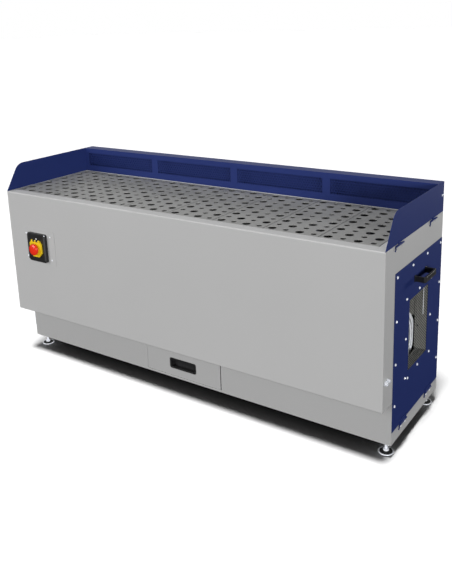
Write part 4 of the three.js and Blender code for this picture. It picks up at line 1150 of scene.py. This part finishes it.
class DOWNDRAFT_OT_foam(bpy.types.Operator):
    """Builds the ridged foam of the door and the fan chamber, with the door foam's painted highlight strip
    and pin
    """

    bl_idname = "downdraft.foam"
    bl_label = "Foam"

    grid = 0.0022

    # The board as y: front of its thick pads, front of its thin back and rear of both
    pads = (0.175, 0.201, 0.215)

    # The board as z: between these heights it has its thin back alone
    fan_room = (0.298, 0.456)
    board_end_gap = 0.01
    wall_gap = 0.001
    board_past_wheel = 0.0072
    lip_past_wheel = 0.0085
    lip_overlap = 0.01
    lip_thickness = 0.02

    # Width of the strip, its distance from the foam's outer side, the gap above it and its length
    strip = (0.0018, 0.0165, 0.014, 0.125)
    pin_inset = 0.0045
    pin_height = 0.101

    # How far inside the foam's outline the opening's corners are looked for
    rim = 0.02

    def ridged_block(self, low, high, sizes):
        """A block of foam with ridges on its front."""
        shape = block(low, high)
        for axis in (0, 2):
            sliced(shape, axis, steps_between(low[axis], high[axis], self.grid))
        shape.normal_update()
        ridges([face for face in shape.faces if face.normal.y < -0.9], sizes)
        return shape

    def keep_foam(self, shape, name, body, nodes=()):
        """Makes a foam piece."""
        piece = keep(shape, name, body, "open_cell_foam", nodes, crease=60, weighted=False)

    def rear_foam(self, sizes):
        shape = self.ridged_block(*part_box("chamber_foam_rear"), sizes)
        self.keep_foam(shape, "ridged_chamber_foam", "table", ["chamber_foam_rear"])

    def board(self, sizes):
        """An upright foam board behind the fan: a thin back with a thick pad below and above the wheel."""
        low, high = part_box("chamber_foam_rear")
        bottom, top = low.z + self.board_end_gap, high.z - self.board_end_gap
        fan_low, fan_high = self.fan_room
        face, step, back = self.pads
        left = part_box("fan_wall")[1].x + self.wall_gap
        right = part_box("fan_impeller")[1].x + self.board_past_wheel
        shape = bmesh.new()
        for front, rear, foot, head in ((step, back, bottom, top), (face, step, bottom, fan_low),
                                        (face, step, fan_high, top)):
            pad = self.ridged_block((left, front, foot), (right, rear, head), sizes)
            stamp(shape, pad)
            pad.free()
        self.keep_foam(shape, "ridged_chamber_board", "table")

    def door_foam(self, sizes):
        """A thick frame of foam round the exhaust opening."""
        low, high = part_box("door_foam")
        hole_low, hole_high = self.opening()
        shape = block(low, high)
        sliced(shape, 1, (hole_low.y, hole_high.y))
        sliced(shape, 2, (hole_low.z, hole_high.z))
        bmesh.ops.delete(shape, geom=self.within(shape, hole_low, hole_high), context="FACES")
        bmesh.ops.bridge_loops(shape, edges=[edge for edge in shape.edges if edge.is_boundary])
        sliced(shape, 0, steps_between(low.x, high.x, self.grid))
        sliced(shape, 1, steps_between(hole_low.y, hole_high.y, self.grid))
        sliced(shape, 2, steps_between(hole_low.z, hole_high.z, self.grid))
        bmesh.ops.recalc_face_normals(shape, faces=shape.faces)
        shape.normal_update()
        slack = Vector((1, 1, 1)) * 1e-5
        walls = [face for face in self.within(shape, hole_low - slack, hole_high + slack)
                 if abs(face.normal.x) < 0.1]
        for axis in (1, 2):
            ridges([face for face in walls if abs(face.normal[axis]) > 0.9], sizes)
        self.keep_foam(shape, "ridged_door_foam", "door", ["door_foam"])

    def within(self, shape, low, high):
        """The faces whose middle lies between two corners, as seen along X."""
        return [face for face in shape.faces
                if all(low[i] < face.calc_center_median()[i] < high[i] for i in (1, 2))]

    def lip(self, sizes):
        """The rear side of the opening goes on inwards, as far as the fan wheel."""
        hole_low, hole_high = self.opening()
        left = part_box("fan_impeller")[1].x + self.lip_past_wheel
        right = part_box("door_foam")[0].x
        shape = self.ridged_block((left, hole_high.y, hole_low.z - self.lip_overlap),
                                  (right, hole_high.y + self.lip_thickness, hole_high.z + self.lip_overlap),
                                  sizes)
        self.keep_foam(shape, "ridged_door_foam_lip", "door")

    def edge_strip(self):
        """A thin white strip down the rear side of the opening, a painted highlight on the foam's edge, and
        a black pin through the foam.
        """
        low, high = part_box("door_foam")
        hole_low, hole_high = self.opening()
        width, depth, top_gap, length = self.strip
        x = high.x - depth
        strip = block((x - width / 2, hole_high.y - width / 2, hole_high.z - top_gap - length),
                      (x + width / 2, hole_high.y + width, hole_high.z - top_gap))
        round_edges(strip, folds(strip), width / 5, 2)
        # The white strip stands in for the lit edge of the foam: a painted highlight
        keep(strip, "foam_edge_highlight_strip", "door", "white_plated_steel")
        pin = turned([(0, 0.002), (0.0024, 0.0018), (0.0036, 0.0008), (0.0036, -0.003), (0, -0.003)], 20)
        spot = (low.x + self.pin_inset, hole_high.y, hole_low.z + self.pin_height)
        bmesh.ops.transform(pin, matrix=facing((0, -1, 0), spot), verts=pin.verts)
        keep(pin, "foam_pin", "door", "black_grained_plastic", weighted=False)

    def opening(self):
        """Lowest and highest corner of the exhaust opening in the door."""
        points = [vert.co for vert in frame["nodes"]["door_foam"].data.vertices]
        low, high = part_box("door_foam")
        inner = [p for p in points if all(low[i] + self.rim < p[i] < high[i] - self.rim for i in (1, 2))]
        return (Vector(min(p[i] for p in inner) for i in range(3)),
                Vector(max(p[i] for p in inner) for i in range(3)))

    def execute(self, context):
        sizes = context.scene.table_sizes
        self.rear_foam(sizes)
        self.board(sizes)
        self.door_foam(sizes)
        self.lip(sizes)
        self.edge_strip()
        return {"FINISHED"}


class DOWNDRAFT_OT_fan(bpy.types.Operator):
    """Builds the fan wheel with its curved blades, the inlet and the motor flange"""

    bl_idname = "downdraft.fan"
    bl_label = "Fan"

    sheet = 0.003
    drum = 0.046
    eye = 0.085
    blade = 0.0022
    bead = 0.0018
    inner_bead = 0.07
    blade_end = (0.104, 0.066, 0)
    blade_bow = 0.01
    blade_steps = 8
    rivets = 6
    rivet_head = 0.008
    rivet_circle = 0.0545
    rivet_sunk = 0.0034

    def execute(self, context):
        low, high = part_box("fan_impeller")
        self.centre = ((low.y + high.y) / 2, (low.z + high.z) / 2)
        self.radius = (high.z - low.z) / 2
        self.wheel(context.scene.table_sizes, low, high)
        soften("fan_inlet_cone", "spun_inlet_cone", "galvanised_sheet", "zinc_steel", 0.0004, 1, 60)
        self.flange()
        return {"FINISHED"}

    def wheel(self, sizes, low, high):
        """Axis along +Z while it is made: the inlet side at 0, the closed back at the wheel's width."""
        rim, back = self.radius, high.x - low.x
        inside = back - self.sheet
        shape = bmesh.new()
        sunk = back - self.bead
        plate = turned([(0, inside), (rim - 0.0045, inside), (rim - 0.0018, inside + 0.0001),
                        (rim - 0.0003, inside + 0.0009), (rim, inside + 0.0018),
                        (rim - 0.0008, back - 0.0004), (rim - 0.002, back),
                        (rim - 0.013, back), (rim - 0.0145, back - 0.0004),
                        (rim - 0.016, sunk), (rim - 0.026, sunk), (rim - 0.0275, back - 0.0004),
                        (rim - 0.029, back), (rim - 0.034, back), (rim - 0.0355, back - 0.0004),
                        (rim - 0.037, sunk), (0.068, sunk), (0.064, back - 0.0012),
                        (0.045, back - 0.0012), (0.041, back), (0, back)], 96)
        shroud = turned([(self.eye, 0), (self.eye + 0.004, 0.0), (rim - 0.004, 0.0004), (rim, 0.0012),
                         (rim, 0.003), (rim - 0.004, 0.003), (self.eye + 0.004, 0.003),
                         (self.eye, 0.0026)], 96, closed=True)
        rotor = turned([(0, 0.01), (0.03, 0.01), (0.032, 0.0112), (self.drum - 0.006, 0.0112),
                        (self.drum - 0.002, 0.0125), (self.drum, 0.016), (self.drum, inside + 0.001),
                        (0, inside + 0.001)], 64)
        for part in (plate, shroud, rotor):
            stamp(shape, part)
            part.free()
        blade = self.curved_blade(0.0015, inside + 0.001)
        for number in range(sizes.blades):
            stamp(shape, blade, Matrix.Rotation(number / sizes.blades * math.tau, 4, "Z"))
        blade.free()
        rivet = screw_shape(self.rivet_head)
        spot = Matrix.Translation((self.rivet_circle, 0, back - self.rivet_sunk))
        for number in range(self.rivets):
            stamp(shape, rivet, Matrix.Rotation(number / self.rivets * math.tau, 4, "Z") @ spot)
        rivet.free()
        # The raised rim and beads get the near white finish: a painted highlight
        for face in shape.faces:
            spot = face.calc_center_median()
            raised = spot.z > sunk + self.bead / 4 and spot.xy.length > self.inner_bead
            face.material_index = 1 if raised else 0
        bmesh.ops.transform(shape, matrix=facing((1, 0, 0), (low.x, *self.centre)), verts=shape.verts)
        keep(shape, "backward_curved_wheel", "fan", ["dusty_wheel_sheet", "wheel_bead_painted_highlight"],
             ["fan_impeller"], crease=40)

    def curved_blade(self, foot, top):
        """A sheet blade bent round its own centre, from the eye to the rim."""
        shape = bmesh.new()
        start = Vector((self.eye + 0.002, 0, 0))
        line = Vector(self.blade_end) - start
        bend = Vector((-line.y, line.x, 0)).normalized()
        shares = [i / self.blade_steps for i in range(self.blade_steps + 1)]
        points = [shape.verts.new(start + line * s - bend * self.blade_bow * math.sin(math.pi * s))
                  for s in shares]
        for first, second in zip(points, points[1:]):
            shape.edges.new((first, second))
        lifted = bmesh.ops.extrude_edge_only(shape, edges=shape.edges[:])["geom"]
        bmesh.ops.translate(shape, vec=(0, 0, top - foot),
                            verts=[part for part in lifted if isinstance(part, bmesh.types.BMVert)])
        bmesh.ops.recalc_face_normals(shape, faces=shape.faces)
        bmesh.ops.solidify(shape, geom=shape.faces[:], thickness=self.blade)
        bmesh.ops.translate(shape, vec=(0, 0, foot), verts=shape.verts)
        return shape

    def flange(self):
        low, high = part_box("fan_motor")
        thick = high.x - low.x
        radius = (high.z - low.z) / 2
        shape = turned([(0, 0), (radius - 0.0006, 0), (radius, 0.0006), (radius, thick - 0.0008),
                        (radius - 0.0008, thick), (radius - 0.008, thick), (radius - 0.009, thick - 0.0008),
                        (0.02, thick - 0.0008), (0.019, thick), (0, thick)], 64)
        bmesh.ops.transform(shape, matrix=facing((1, 0, 0), (low.x, *self.centre)), verts=shape.verts)
        keep(shape, "turned_motor_flange", "table", "galvanised_sheet", ["fan_motor"])


class DOWNDRAFT_OT_filter(bpy.types.Operator):
    """Builds the pleated filter media"""

    bl_idname = "downdraft.filter"
    bl_label = "Filter"

    pleat_edge = 0.0014

    def execute(self, context):
        shape = merged_copy("filter_media")
        low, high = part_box("filter_media")
        upright = [edge for edge in shape.edges
                   if abs(edge.verts[0].co.z - edge.verts[1].co.z) > (high.z - low.z) * 0.9]
        round_edges(shape, upright, self.pleat_edge, 3)
        keep(shape, "pleated_filter_media", "table", "filter_cloth", ["filter_media"],
             crease=50)
        return {"FINISHED"}


# Operator: the stage


class DOWNDRAFT_OT_stage(bpy.types.Operator):
    """Makes the pale floor, the soft light and the camera"""

    bl_idname = "downdraft.stage"
    bl_label = "Stage"

    spot = Vector((1.88476, -2.53098, 1.68742))
    azimuth = math.radians(34.93)
    elevation = math.radians(14.23)
    roll = math.radians(-2.02)
    lens = 44.33
    sensor = 36.0
    shift = -0.161
    far = 200
    sky_light = 0.07
    sky_fade = 0.35
    floor_reach = 60

    # Name, direction, spread in degrees, strength
    ground_lamp = ("ground", (0.05, -0.24, 1), 11, 3.7)
    table_lamps = (
        ("overhead", (-0.1, 0.15, 1), 40, 2.0),
        ("key", (0.72, -0.69, 0.05), 20, 3.6),
        ("front", (-0.5, -0.81, 0.3), 35, 1.6),
        ("rear_right", (1, 2.4, 0.0), 6, 1.7),
    )

    def camera(self, context):
        data = bpy.data.cameras.new("camera")
        camera = bpy.data.objects.new("camera", data)
        context.scene.collection.objects.link(camera)
        right = Vector((math.cos(self.azimuth), math.sin(self.azimuth), 0))
        back = Vector((math.sin(self.azimuth) * math.cos(self.elevation),
                       -math.cos(self.azimuth) * math.cos(self.elevation), math.sin(self.elevation)))
        up = back.cross(right)
        level, rise = math.cos(self.roll), math.sin(self.roll)
        turn = Matrix((right * level + up * rise, up * level - right * rise, back)).transposed()
        camera.matrix_world = Matrix.Translation(self.spot) @ turn.to_4x4()
        data.lens = self.lens
        data.sensor_width = self.sensor
        data.shift_y = self.shift
        data.clip_end = self.far
        context.scene.camera = camera

    def receivers(self, floor, name, link_state):
        """What a lamp lights: the floor alone, or all but the floor."""
        group = bpy.data.collections.new(name)
        group.objects.link(floor)
        group.collection_objects[0].light_linking.link_state = link_state
        return group

    def lamp(self, context, name, source, spread, power, receivers):
        """A far soft lamp that shines from a direction; its spread in degrees softens the shadows."""
        data = bpy.data.lights.new(name, "SUN")
        data.angle = math.radians(spread)
        data.energy = power
        lamp = bpy.data.objects.new(name, data)
        context.scene.collection.objects.link(lamp)
        lamp.light_linking.receiver_collection = receivers
        lamp.matrix_world = Vector(source).to_track_quat("Z", "Y").to_matrix().to_4x4()

    def softbox(self, context, name, spot, size, power, receivers):
        """A wide lamp that the camera doesn't see, aimed at the middle of the worktop."""
        data = bpy.data.lights.new(name, "AREA")
        data.shape = "RECTANGLE"
        data.size, data.size_y = size
        data.energy = power
        lamp = bpy.data.objects.new(name, data)
        context.scene.collection.objects.link(lamp)
        lamp.light_linking.receiver_collection = receivers
        lamp.visible_camera = False
        lamp.matrix_world = facing(Vector(spot) - Vector((0, 0, WORKTOP)), spot)

    def sky(self, context):
        """A white surround for the camera. Only its upper half lights the table, and faintly."""
        world = bpy.data.worlds.new("studio")
        world.use_nodes = True
        tree = world.node_tree
        background = tree.nodes["Background"]
        background.inputs["Color"].default_value = (1, 1, 1, 1)
        direction = tree.nodes.new("ShaderNodeTexCoord")
        split = tree.nodes.new("ShaderNodeSeparateXYZ")
        glow = tree.nodes.new("ShaderNodeMapRange")
        glow.inputs["To Max"].default_value = self.sky_light
        glow.inputs["From Max"].default_value = self.sky_fade
        path = tree.nodes.new("ShaderNodeLightPath")
        strength = tree.nodes.new("ShaderNodeMapRange")
        strength.inputs["To Max"].default_value = 1.0
        tree.links.new(direction.outputs["Generated"], split.inputs[0])
        tree.links.new(split.outputs["Z"], glow.inputs["Value"])
        tree.links.new(glow.outputs["Result"], strength.inputs["To Min"])
        tree.links.new(path.outputs["Is Camera Ray"], strength.inputs["Value"])
        tree.links.new(strength.outputs["Result"], background.inputs["Strength"])
        context.scene.world = world

    def floor(self, context):
        shape = bmesh.new()
        bmesh.ops.create_grid(shape, x_segments=8, y_segments=8, size=self.floor_reach)
        mesh = bpy.data.meshes.new("floor")
        shape.to_mesh(mesh)
        shape.free()
        mesh.materials.append(finish("pale_floor"))
        floor = bpy.data.objects.new("floor", mesh)
        context.scene.collection.objects.link(floor)
        floor.visible_glossy = False
        floor.visible_diffuse = False
        return floor

    def execute(self, context):
        context.scene.view_settings.view_transform = "Standard"
        self.sky(context)
        floor = self.floor(context)
        ground = self.receivers(floor, "ground_only", "INCLUDE")
        table = self.receivers(floor, "all_but_ground", "EXCLUDE")
        self.lamp(context, *self.ground_lamp, ground)
        for lamp in self.table_lamps:
            self.lamp(context, *lamp, table)
        self.softbox(context, "rear_sheen", (-2.6, 3.8, 1.9), (6.0, 2.4), 42, table)
        self.camera(context)
        return {"FINISHED"}


class DOWNDRAFT_PT_panel(bpy.types.Panel):
    """Lists the table's sizes, colours and steps"""

    bl_idname = "DOWNDRAFT_PT_panel"
    bl_label = "Downdraft table"
    bl_space_type = "VIEW_3D"
    bl_region_type = "UI"
    bl_category = "Downdraft table"

    def draw(self, context):
        for settings in (context.scene.table_sizes, context.scene.table_colours):
            box = self.layout.box()
            for name in settings.bl_rna.properties.keys():
                if name not in ("rna_type", "name"):
                    box.prop(settings, name)
        for step in STEPS:
            self.layout.operator(step.bl_idname)


STEPS = (
    DOWNDRAFT_OT_stage,
    DOWNDRAFT_OT_painted_sheets,
    DOWNDRAFT_OT_zinc_sheets,
    DOWNDRAFT_OT_worktop_plates,
    DOWNDRAFT_OT_window_mesh,
    DOWNDRAFT_OT_screws,
    DOWNDRAFT_OT_hinges,
    DOWNDRAFT_OT_door_handle,
    DOWNDRAFT_OT_glands,
    DOWNDRAFT_OT_feet,
    DOWNDRAFT_OT_drawer_pull,
    DOWNDRAFT_OT_switch,
    DOWNDRAFT_OT_foam,
    DOWNDRAFT_OT_fan,
    DOWNDRAFT_OT_filter,
)


def register():
    for kind in (TableSizes, TableColours, *STEPS, DOWNDRAFT_PT_panel):
        bpy.utils.register_class(kind)
    bpy.types.Scene.table_sizes = PointerProperty(type=TableSizes)
    bpy.types.Scene.table_colours = PointerProperty(type=TableColours)


def unregister():
    del bpy.types.Scene.table_colours
    del bpy.types.Scene.table_sizes
    for kind in (DOWNDRAFT_PT_panel, *reversed(STEPS), TableColours, TableSizes):
        bpy.utils.unregister_class(kind)


def main():
    """Dresses the whole table."""
    register()
    for step in STEPS:
        category, name = step.bl_idname.split(".")
        getattr(getattr(bpy.ops, category), name)()


if __name__ == "__main__":
    main()
